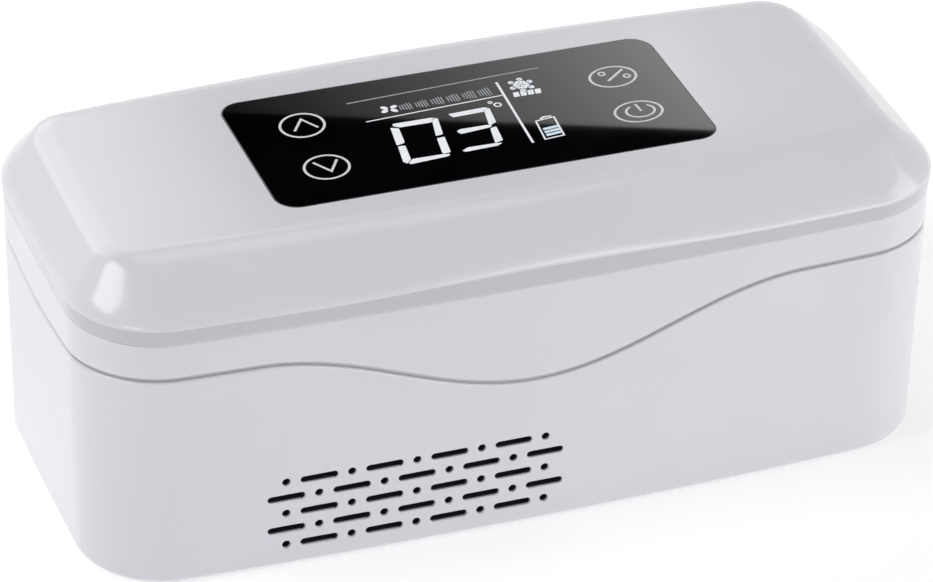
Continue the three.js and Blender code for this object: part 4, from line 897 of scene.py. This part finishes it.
windowSize = {"length": 107.3, "width": 48.8, "offsetY": 0.9, "radius": 5.5, "thickness": 1.3, "ledge": 2.5,
              "foot": 0.2, "edge": [(0, 0.25), (0.07, 0.07), (0.25, 0)]}
windowBottom = plateau - windowSize["thickness"]
displayBoard = {"below": 2.8, "thickness": 1.6}
displayBoardTop = windowBottom - gap - displayBoard["below"] - gap
liner = {"lift": 1.6, "thickness": 3.0, "play": 1.2, "plugDepth": 5.0, "plugWall": 1.6, "edge": 0.5, "plugFillet": 1.2}
linerBottom = rimTop + liner["lift"] + 2 * gap
linerTop = linerBottom + liner["thickness"]
lidScrewSeat = linerBottom + posts["headHeight"] + gap
lidScrews = {"x": 84.0, "y": 35.4, "boss": 3.0, "bossRise": 4.4, "length": 7.0}
lidScrewSpots = fourCorners(lidScrews["x"], lidScrews["y"])
stakes = {"x": 48.0, "y": 25.1, "pin": 1.0, "radius": 2.6}


def windowRing(out):
    return grownRing(windowSize, out, (0, windowSize["offsetY"]))


lidBosses = postSet("lidBoss", lidScrewSpots, lidScrews["boss"], linerTop + gap,
                    skirtTop + lidScrews["bossRise"])
pin, radius = stakes["pin"], stakes["radius"]
lidBosses += turnedSet("stake", fourCorners(stakes["x"], stakes["y"], 0, windowSize["offsetY"]), [
    (pin, displayBoardTop - displayBoard["thickness"] - gap), (pin, displayBoardTop + gap),
    (radius, displayBoardTop + gap), (radius, lidInnerTop + grip),
], 32)
weld(lidCover, *lidBosses)
rim = {"gap": 0.06, "lip": 0.05}
mouth = rim["gap"] + rim["lip"]
lidHoles = [
    grownPiece("pocket", windowRing, [
        (rim["gap"], windowBottom - gap), (rim["gap"], plateau - rim["lip"]), (mouth, plateau), (mouth, plateau + past),
    ]),
    prismPiece("opening", windowRing(-windowSize["ledge"]), lidInnerTop - past, plateau + past),
    *screwPilots(lidScrewSpots, linerTop - past, lidScrewSeat + lidScrews["length"] + gap),
]
for side in bothSides:
    lidHoles += reliefs(baseSpans(side))
cut(lidCover, *lidHoles)
addKnuckles(lidCover, hinge["lidRise"], lidSpans)
fit(smooth(lidCover, 24), "lid", "shell", None, "lid_shell")

print("window and marks")
windowPanel = grownPiece("window_panel", windowRing, [
    (-windowSize["foot"], windowBottom), (0, windowBottom + windowSize["foot"]),
    *[(-inset, plateau - drop) for inset, drop in windowSize["edge"]],
])
fit(smooth(windowPanel, 40), "lid", "window", "windowGloss", "display_window")
ink = {"lift": 0.002, "thickness": 0.02, "keyLine": 0.62, "keyDot": (1.0, 0.5)}


# Flat printed shapes on the window, each a closed slab.
def printPiece(name, outlines, material):
    points, faces = [], []
    for outline in outlines:
        first, count = len(points), len(outline)
        points += level(outline, plateau + ink["lift"]) + level(outline, plateau + ink["lift"] + ink["thickness"])
        faces.append(tuple(first + i for i in range(count))[::-1])
        faces.append(tuple(first + count + i for i in range(count)))
        for i in range(count):
            j = (i + 1) % count
            faces.append((first + i, first + j, first + count + j, first + count + i))
    return fit(newPiece(name, points, faces), "lid", "display", material)


def strokeSides(points, width):
    left, right = [], []
    for i, p in enumerate(points):
        at = Vector(p)
        a = at - Vector(points[i - 1]) if i else Vector(points[1]) - at
        b = Vector(points[i + 1]) - at if i + 1 < len(points) else a
        a, b = a.normalized(), b.normalized()
        side = Vector((-a.y - b.y, a.x + b.x)).normalized()
        reach = width / 2 / max(side.dot(Vector((-a.y, a.x))), 0.4)
        left.append(tuple(at + side * reach))
        right.append(tuple(at - side * reach))
    return left, right


def stroke(points, width):
    left, right = strokeSides(points, width)
    return [[left[i], left[i + 1], right[i + 1], right[i]] for i in range(len(points) - 1)]


# Points of an oval, or of an arc of it, on two half axes.
def ovalPoints(centre, across, along, grow=1.0, start=0.0, end=2 * math.pi, steps=64):
    middle, a, b = Vector(centre), Vector(across) * grow, Vector(along) * grow
    return [tuple(middle + a * math.cos(t) + b * math.sin(t)) for t in turnsBetween(start, end, steps)]


def ovalStroke(centre, across, along, width, start=0.0, end=2 * math.pi, steps=64):
    outer = ovalPoints(centre, across, along, 1.0, start, end, steps)
    inner = ovalPoints(centre, across, along, 1 - width / Vector(across).length, start, end, steps)
    return [[outer[i], outer[i + 1], inner[i + 1], inner[i]] for i in range(steps)]


def ringStroke(centre, radius, width):
    return ovalStroke(centre, (radius, 0), (0, radius), width, steps=24)


def blob(centre, toward, halfLength, halfWidth):
    way = (Vector(toward) - Vector(centre)).normalized()
    return ovalPoints(centre, way * halfLength, Vector((-way.y, way.x)) * halfWidth, steps=18)[1:]


# An outline whose corners are rounded off.
def rounded(corners, reach=0.4):
    outline = []
    for before, at, after in zip(corners[-1:] + corners[:-1], corners, corners[1:] + corners[:1]):
        room = min((Vector(before) - Vector(at)).length, (Vector(after) - Vector(at)).length)
        outline += [tuple(p) for p in softCorner(before, at, after, min(reach, room * 0.45), 3)]
    return outline


# The key symbols' points are measured from the middle of their ring.
keys = {
    "up": {"centre": (-37.28, 10.66), "across": (5.33, -1.24), "along": (1.78, 5.33),
           "symbol": [(-2.49, -2.01), (0.58, 2.68), (3.26, -1.93)]},
    "down": {"centre": (-37.83, -8.7), "across": (5.31, -1.35), "along": (1.77, 5.22),
             "symbol": [(-2.4, 2.77), (0.46, -2.04), (3.26, 2.54)]},
    "unit": {"centre": (39.28, 9.49), "across": (5.73, -1.15), "along": (1.84, 4.67),
             "symbol": [(-1.8, -1.58), (3.41, 2.69)], "rings": [(-2.1, 2.0), (3.3, -0.6)]},
    "power": {"centre": (39.08, -7.37), "across": (5.83, -1.15), "along": (1.85, 4.61),
              "symbol": [(0.44, 3.41), (0.7, 0.02)], "arcShift": (0.51, 0.18), "arcSize": 0.62,
              "arcFrom": 136, "arcTo": 425},
}
keyShapes = []
keyLine = ink["keyLine"]
for key in keys.values():
    middle = Vector(key["centre"])
    keyShapes += ovalStroke(middle, key["across"], key["along"], keyLine)
    keyShapes += stroke([tuple(middle + Vector(p)) for p in key["symbol"]], keyLine)
    for p in key.get("rings", []):
        keyShapes += ringStroke(middle + Vector(p), *ink["keyDot"])
    if "arcSize" in key:
        half, rise = Vector(key["across"]) * key["arcSize"], Vector(key["along"]) * key["arcSize"]
        keyShapes += ovalStroke(middle + Vector(key["arcShift"]), half, rise, keyLine,
                                math.radians(key["arcFrom"]), math.radians(key["arcTo"]), 48)
printPiece("key_marks", keyShapes, "keyPrint")

digits = {
    "zero": [
        [(-17.52, 3.84), (-17.3, 4.83), (-7.69, 4.77), (-6.94, 4.27), (-8.41, 2.77), (-16.19, 2.83)],
        [(-18.35, 3.29), (-16.51, 2.53), (-17.33, -3.97), (-19.53, -4.63)],
        [(-19.44, -5.07), (-17.69, -5.23), (-18.45, -11.27), (-19.81, -12.99), (-20.57, -11.94)],
        [(-7.83, 4.4), (-6.45, 4.11), (-7.67, -3.04), (-9.57, -3.4)],
        [(-9.72, -4.41), (-7.76, -4.23), (-8.74, -11.21), (-10.76, -11.35)],
        [(-18.15, -11.36), (-10.81, -11.5), (-9.07, -11.9), (-9.79, -12.72), (-19.22, -13.42), (-19.54, -12.92)],
    ],
    "three": [
        [(-3.55, 5.08), (5.31, 5.44), (6.26, 5.14), (4.91, 3.58), (-2.9, 3.38)],
        [(5.04, 4.37), (6.58, 4.86), (5.86, -1.68), (3.74, -2.81)],
        [(-4.33, -2.89), (-3.23, -2.19), (3.5, -2.32), (4.5, -3.05), (3.47, -3.54), (-3.78, -4.3)],
        [(3.53, -3.97), (5.18, -3.52), (4.52, -9.84), (2.36, -10.52)],
        [(-6.08, -11.5), (-4.35, -10.45), (2.34, -10.59), (4.04, -10.9), (2.52, -11.79), (-5.38, -12.13)],
    ],
}
litShapes = [rounded(segment) for digit in digits.values() for segment in digit]
# Rules as their ends and width, rings as their centre, radius and width.
rules = [([(12.23, 15.45), (10.7, -13.06)], 0.6), ([(-22.74, 7.58), (11.47, 9.38)], 0.38)]
rings = [((7.6, 7.1), 0.6, 0.34), ((8.93, 5.6), 1.0, 0.42)]
for shapes in [stroke(*rule) for rule in rules] + [ringStroke(*ring) for ring in rings]:
    litShapes += shapes
flake = {"centre": (17.4, 12.6), "reach": 2.55, "tip": 0.72, "sideReach": 1.5, "side": 0.46, "stem": 0.55,
         "arms": 6, "turn": 0.35}
for i in range(2 * flake["arms"]):
    a, side = math.pi / flake["arms"] * i + flake["turn"], i % 2
    reach, size = (flake["sideReach"], flake["side"]) if side else (flake["reach"], flake["tip"])
    tip = tuple(Vector(flake["centre"]) + Vector((math.cos(a), math.sin(a))) * reach)
    litShapes.append(blob(tip, flake["centre"], size, size))
    litShapes += [] if side else stroke([flake["centre"], tip], flake["stem"])
bars = {"count": 4, "start": (13.8, 7.65), "wide": 1.45, "tall": 2.05, "step": 1.8, "lean": 0.4, "round": 0.3}
for i in range(bars["count"]):
    x, y = bars["start"][0] + bars["step"] * i, bars["start"][1]
    litShapes.append(rounded([(x, y), (x + bars["wide"], y), (x + bars["wide"] + bars["lean"], y + bars["tall"]),
                              (x + bars["lean"], y + bars["tall"])], bars["round"]))
pinwheel = {"centre": (-15.7, 11.5), "tips": [(-17.4, 12.85), (-13.6, 12.6), (-17.9, 10.4), (-14.2, 9.9)],
            "petalShare": 0.6, "petalLength": 0.95, "petalWidth": 0.62}
for tip in pinwheel["tips"]:
    petal = tuple(Vector(pinwheel["centre"]).lerp(Vector(tip), pinwheel["petalShare"]))
    litShapes.append(blob(petal, tip, pinwheel["petalLength"], pinwheel["petalWidth"]))
cell = {"case": [(14.72, -4.14), (19.41, -3.6), (18.74, -12.01), (13.89, -12.47), (14.72, -4.14)],
        "cap": [(16.11, -3.52), (17.13, -2.86), (18.98, -3.05)], "rows": 3,
        "low": ((14.76, -11.53), (18.5, -11.1)), "high": ((15.05, -7.5), (18.95, -7.05)), "gap": 0.28,
        "caseLine": 0.42, "capLine": 0.5}
litShapes += stroke(cell["case"], cell["caseLine"]) + stroke(cell["cap"], cell["capLine"])
printPiece("lit_marks", litShapes, "litMark")
dimRule = {"ends": [(-24.42, 16.81), (24.1, 18.84)], "width": 0.42}
printPiece("dim_marks", stroke(dimRule["ends"], dimRule["width"]), "dimMark")
chargeShapes = []
for i in range(cell["rows"]):
    low, high = (i + cell["gap"] / 2) / cell["rows"], (i + 1 - cell["gap"] / 2) / cell["rows"]
    ends = [Vector(a).lerp(Vector(b), share) for share in (low, high) for a, b in zip(cell["low"], cell["high"])]
    chargeShapes.append([tuple(ends[k]) for k in (0, 1, 3, 2)])
printPiece("charge_marks", chargeShapes, "blueMark")


# Fine upright dashes along a line, in groups and getting taller: the fan speed bar.
def dashTree():
    t = Tree("dashRow", {
        "Start": "Vector", "End": "Vector", "Count": "Int", "Group": "Int", "Width": "Float", "Low": "Float",
        "High": "Float", "Thickness": "Float", "Material": "Material",
    })
    s = t.source
    line = t.add("GeometryNodeMeshLine", {"Count": s["Count"], "Start Location": s["Start"], "Offset": s["End"]},
                 mode="END_POINTS")[0]
    index = t.add("GeometryNodeInputIndex")[0]
    block = t.add("GeometryNodeMeshCube", {"Size": t.vector(X=s["Width"], Y=1.0, Z=s["Thickness"])})[0]
    kept = t.above(t.minus(s["Group"], 1.5), t.math("MODULO", index, s["Group"]))
    grow = t.plus(t.times(t.minus(s["High"], s["Low"]), t.over(index, s["Count"])), s["Low"])
    wave = t.times(t.math("PINGPONG", index, 3.0), 0.12)
    tall = t.vector(X=1.0, Y=t.times(grow, t.plus(wave, 0.7)), Z=1.0)
    row = t.add("GeometryNodeInstanceOnPoints", {
        "Points": line, "Selection": kept, "Instance": block, "Scale": tall,
    })[0]
    return t.finish(row, s["Material"])


speedBar = dashTree().make("speed_bar", {
    "Start": toScene((-13.1, 11.25, plateau + 0.012)), "End": toScene((9.3, 12.0, plateau + 0.012)),
    "Count": 35, "Group": 6, "Width": 0.0003, "Low": 0.0028, "High": 0.0036, "Thickness": 0.00002,
    "Material": paint["dimMark"],
})
fit(speedBar, "lid", "display", "dimMark")

# Inside of the lid
print("liner and seal")
plugBottom = rimTop - liner["plugDepth"]
linerInset, linerEdge = wall + 2 * gap, liner["edge"]


def linerRing(out):
    return lidRing(0, linerInset - out)


def plugRing(out):
    return trayRing(out - liner["play"])


lidLiner = grownPiece("liner_plate", linerRing, [
    (-linerEdge, linerBottom), (-linerEdge * 0.3, linerBottom + linerEdge * 0.3), (0, linerBottom + linerEdge),
    (0, linerTop),
])
plugRound = [(-inset, plugBottom + rise) for inset, rise in quarterRound(liner["plugFillet"], 6)]
weld(lidLiner, grownPiece("plug", plugRing, [*plugRound, (0, linerBottom + grip)]))
cut(
    lidLiner,
    prismPiece("hollow", plugRing(-liner["plugWall"]), plugBottom + liner["plugWall"], linerTop + past),
    *screwBores(lidScrewSpots, linerBottom, lidScrewSeat, linerTop + past),
    *[hole for side in bothSides for hole in magnetPocket(side, linerBottom + magnets["skin"], linerTop + past)],
)
fit(smooth(lidLiner), "lid", "liner", "linerPlastic", "lid_liner")

# The seal's section: two soft lips below, a flat back above, as offsets from the plug and heights.
sealSection = [(0.3, 0.75), (0.5, 0.3), (0.95, 0.0), (1.4, 0.05), (1.8, 0.5), (2.55, 0.62), (3.3, 0.5), (3.7, 0.05),
               (4.15, 0.0), (4.6, 0.3), (4.8, 0.75), (4.8, 1.6), (0.3, 1.6)]
sealLow = rimTop + gap
lidSeal = grownPiece("seal_ring", plugRing, [(out, sealLow + z) for out, z in sealSection], looped=True)
fit(smooth(lidSeal, 50), "lid", "rubber", "softRubber", "lid_seal")

# Small hardware
print("hardware")


# The same piece at the four corners of a rectangle.
def cornerTree():
    t = Tree("cornerSet", {
        "Piece": "Object", "Spread X": "Float", "Spread Y": "Float", "Centre": "Vector", "Material": "Material",
    })
    s = t.source
    grid = t.add("GeometryNodeMeshGrid", {
        "Size X": s["Spread X"], "Size Y": s["Spread Y"], "Vertices X": 2, "Vertices Y": 2,
    })["Mesh"]
    placed = t.add("GeometryNodeSetPosition", {"Geometry": grid, "Offset": s["Centre"]})[0]
    return t.finish(t.instances(placed, s["Piece"]), s["Material"])


cornerMaker = cornerTree()


# Such a set, in place of the four CAD pieces whose names start with its stem.
def cornerSet(name, shape, spots, z, body, material, stem, slot):
    x, y = spots[-1]
    piece = cornerMaker.make(name, {
        "Piece": shape, "Spread X": 2 * milli * x, "Spread Y": 2 * milli * y, "Centre": toScene((0, 0, z)),
        "Material": paint[material],
    })
    drop(shape)
    return fit(smooth(piece, 40), body, slot, material, *[stem + place for place in cornerNames])


def screwShape(length):
    head, rise = posts["headRadius"], posts["headHeight"]
    profile = [(head - 0.9, -rise), (head - 0.35, -rise + 0.12), (head - 0.08, -rise + 0.4), (head, -rise + 0.7),
               (head, -0.1), (head - 0.1, 0), (screws["radius"], 0)]
    z = screws["threadStart"]
    while z < length - screws["plainTip"]:
        profile += [(screws["radius"], z), (screws["root"], z + screws["pitch"] * 0.45),
                    (screws["root"], z + screws["pitch"] * 0.6)]
        z += screws["pitch"]
    profile += [(screws["root"], length - screws["cone"]), (screws["radius"] / 3, length)]
    shape = turnedPiece("screwShape", profile, 0, caseSize["forward"], 24)
    long, slim = screws["crossLength"], screws["crossWidth"]
    bars = [roundedRing(a, b, 0.1, 2, (0, caseSize["forward"])) for a, b in ((long, slim), (slim, long))]
    cross = [prismPiece("cross", bar, -rise - past, -rise + screws["crossDepth"]) for bar in bars]
    return cut(shape, weld(*cross))


cornerSet("housing_screws", screwShape(screws["length"]), postSpots, screwSeat,
          "case", "steel", "housing_screw_", "steel")
cornerSet("lid_screws", screwShape(lidScrews["length"]), lidScrewSpots, lidScrewSeat,
          "lid", "steel", "lid_screw_", "steel")

footProfile = [(1.5, 0.0), (1.7, 0.25), (2.2, 0.25), (2.4, 0.0), (3.6, 0.0), (3.8, 0.25), (4.3, 0.25), (4.5, 0.0),
               (5.9, 0.0), (6.5, 0.14), (6.8, 0.5), (6.8, 1.7)]
footShape = turnedPiece("footShape", footProfile, 0, caseSize["forward"], 64)
cornerSet("rubber_feet", footShape, feetSpots, 0, "case", "softRubber", "foot_", "rubber")

socket = {"back": 87.8, "front": 99.8, "noseEnd": 103.55, "bevel": 0.3, "boreStart": 92.0, "flare": 0.5,
          "pinStart": 91.7, "pinEnd": 102.2, "pinTip": 0.4}


# A body turned about the jack's axis, from a profile of radius and x.
def jackTurned(name, profile, sides=48):
    return sweptPiece(name, [[(x, y, z) for y, z in circlePoints(r, sides, jack["y"], jackAxis)] for r, x in profile])


nose, bore, pin, end, flare = jack["radius"], jack["bore"], jack["pin"], socket["noseEnd"], socket["flare"]
jackBody = barPiece("jack_body", roundedRing(jack["width"] / 2, jack["height"] / 2, 0.6, 5, (jack["y"], jackAxis)),
                    socket["back"], socket["front"])
weld(jackBody, jackTurned("nose", [
    (nose, socket["front"] - past), (nose, end - socket["bevel"]), (nose - socket["bevel"], end),
]))
cut(jackBody, jackTurned("bore", [
    (bore, socket["boreStart"]), (bore, end - flare), (bore + flare, end), (bore + flare, end + past),
]))
fit(smooth(jackBody), "case", "black_plastic", "blackPlastic", "dc_jack")
jackPin = jackTurned("jack_pin", [
    (pin, socket["pinStart"]), (pin, socket["pinEnd"] - socket["pinTip"]), (pin - 0.35, socket["pinEnd"]),
], 32)
fit(smooth(jackPin), "case", "nickel", "nickel")

# CAD pieces that keep their shape
print("carried pieces")
carried = {
    "cellFoam": ["tray_insulation", "lid_foam"],
    "aluminium": ["cold_block", "heat_sink"],
    "ceramic": ["peltier_module"],
    "laminate": ["main_board", "display_board"],
    "blackPlastic": ["battery_holder", "fan_lead", "fan_frame", "fan_rotor", "touch_pad_up", "touch_pad_down",
                     "touch_pad_unit", "touch_pad_power"],
    "cellWrap": ["battery_cell_left", "battery_cell_right"],
    "nickel": ["battery_contact_rear", "battery_contact_front"],
    "redInsulation": ["peltier_lead", "battery_lead"],
    "steel": ["base_magnet_left", "base_magnet_right", "lid_magnet_left", "lid_magnet_right", "hinge_pin_left",
              "hinge_pin_right"],
    "lcdGlass": ["lcd_module"],
}
for material, names in carried.items():
    for name in names:
        node = frame["nodes"][name]
        if not node.material_slots:
            node.data.materials.append(paint[material])
        for place in node.material_slots:
            place.material = paint[material]

# Studio
print("studio")
studio = {
    "floorReach": 4000.0, "floorDrop": 0.02, "floorRoughness": 0.9, "floorTone": 0.8, "floorGlow": 0.28,
    "floorSeen": 0.12, "floorFar": 0.5, "fadeStart": 0.7, "fadeEnd": 2.4, "worldFill": 0.28,
}
reach = studio["floorReach"]
floorRing = [(-reach, -reach), (reach, -reach), (reach, reach), (-reach, reach)]
floorSheet = newPiece("floor", level(floorRing, -studio["floorDrop"]), [(0, 1, 2, 3)])
floorLook, tree = newMaterial("floorTone")
path = addNode(tree, "ShaderNodeLightPath")
seen = addNode(tree, "ShaderNodeMath", {0: path["Is Camera Ray"], 1: path["Is Glossy Ray"]}, operation="MAXIMUM")[0]
glow = addNode(tree, "ShaderNodeMath", {0: seen, 1: studio["floorSeen"], 2: studio["floorGlow"]},
               operation="MULTIPLY_ADD")[0]
# Far from the case the lamps fade out, so the floor the camera sees there glows a little more.
place = addNode(tree, "ShaderNodeTexCoord")["Object"]
away = addNode(tree, "ShaderNodeVectorMath", {0: place}, operation="LENGTH")["Value"]
fade = addNode(tree, "ShaderNodeMapRange", {
    "Value": away, "From Min": studio["fadeStart"], "From Max": studio["fadeEnd"], "To Min": 0.0,
    "To Max": studio["floorFar"],
})["Result"]
farGlow = addNode(tree, "ShaderNodeMath", {0: path["Is Camera Ray"], 1: fade, 2: glow}, operation="MULTIPLY_ADD")[0]
white = (1, 1, 1, 1)
setInputs(tree, tree.nodes["Principled BSDF"], {
    "Base Color": (studio["floorTone"],) * 3 + (1,), "Roughness": studio["floorRoughness"], "Emission Color": white,
    "Emission Strength": farGlow,
})
repaint(floorSheet, floorLook)

world = bpy.data.worlds.new("studio")
scene.world = world
world.use_nodes = True
tree = world.node_tree
path = addNode(tree, "ShaderNodeLightPath")
seen = 0.0
for ray in ("Is Camera Ray", "Is Glossy Ray", "Is Transmission Ray"):
    seen = addNode(tree, "ShaderNodeMath", {0: path[ray], 1: seen}, operation="ADD", use_clamp=True)[0]
fill, plain = [addNode(tree, "ShaderNodeBackground", {"Color": white, "Strength": strength})[0]
               for strength in (studio["worldFill"], 1)]
shown = addNode(tree, "ShaderNodeMixShader", {0: seen, 1: fill, 2: plain})[0]
setInputs(tree, tree.nodes["World Output"], {"Surface": shown})


# Each lamp's place, what it is aimed at, its size and its watts.
lamps = {
    "leftLight": ((-1.17, 0.0, 1.2), (0, 0, 0.04), (0.75, 1.0), 9.2),
    "rightLight": ((1.3, -0.5, 0.5), (0, 0, 0.04), (0.8, 1.1), 5.2),
    "nearLight": ((0.42, -0.62, 0.1), (0, 0, 0.04), (0.6, 0.18), 0.95),
    "cornerLight": ((-0.95, -0.9, 0.32), (-0.08, 0, 0.04), (0.45, 0.3), 1.5),
    "frontLight": ((0.65, -1.35, 0.5), (0, 0, 0.04), (0.35, 0.4), 0.5),
    "topLight": ((0.18, 0.28, 1.3), (0, 0, 0.04), (0.5, 0.5), 0.8),
    "rearLight": ((-0.35, 1.2, 0.95), (0, 0, 0.08), (1.4, 1.2), 6.5),
}
for name, (spot, aim, size, watts) in lamps.items():
    lamp = bpy.data.lights.new(name, "AREA")
    lamp.shape = "RECTANGLE"
    lamp.size, lamp.size_y = size
    lamp.energy = watts
    light = bpy.data.objects.new(name, lamp)
    scene.collection.objects.link(light)
    light.location = spot
    light.rotation_euler = (Vector(aim) - Vector(spot)).to_track_quat("-Z", "Y").to_euler()

# What the window mirrors: a black flag, and over it a grey card that grows lighter to the right.
cards = {"away": 0.45, "slope": -0.405, "rise": 0.6, "reach": 62.0, "high": 34.0, "low": -32.0, "steps": 24,
         "tone": (0.67, 0.0172, 0.000106)}
cameraTwin = Vector((cameraSpot.x, cameraSpot.y, 2 * plateau * milli - cameraSpot.z))
windowSpot = Vector(toScene((0, windowSize["offsetY"], plateau)))
mirrorWay = (windowSpot - cameraTwin).normalized()


def cardPoint(x, y):
    at = Vector(toScene((x, y, plateau)))
    ray = (at - cameraTwin).normalized()
    share = (cards["away"] + (windowSpot - at).dot(mirrorWay)) / ray.dot(mirrorWay)
    return at + ray * share


def cardPiece(name, lowEdge, highEdge, tone):
    points, tones, faces = [], [], []
    for i in range(cards["steps"] + 1):
        x = -cards["reach"] + 2 * cards["reach"] * i / cards["steps"]
        points += [cardPoint(x, lowEdge(x)), cardPoint(x, highEdge(x))]
        tones += [tone(x)] * 2
        if i:
            faces.append((2 * i - 2, 2 * i, 2 * i + 1, 2 * i - 1))
    mesh = bpy.data.meshes.new(name)
    mesh.from_pydata(points, [], faces)
    shade = mesh.attributes.new("cardTone", "FLOAT", "POINT")
    shade.data.foreach_set("value", tones)
    card = bpy.data.objects.new(name, mesh)
    scene.collection.objects.link(card)
    mesh.materials.append(cardLook)
    card.visible_camera = card.visible_diffuse = card.visible_shadow = card.visible_transmission = False


cardLook, tree = newMaterial("cardTone")
cardShade = addNode(tree, "ShaderNodeAttribute", attribute_name="cardTone")["Fac"]
cardGlow = addNode(tree, "ShaderNodeEmission", {"Strength": cardShade})[0]
setInputs(tree, tree.nodes["Material Output"], {"Surface": cardGlow})


def cardEdge(x):
    return cards["rise"] + cards["slope"] * x


def cardTone(x):
    start, slope, bend = cards["tone"]
    return max(0.0, start + slope * x + bend * x * x)


cardPiece("greyCard", cardEdge, lambda x: cards["high"], cardTone)
cardPiece("blackFlag", lambda x: cards["low"], cardEdge, lambda x: 0.0)
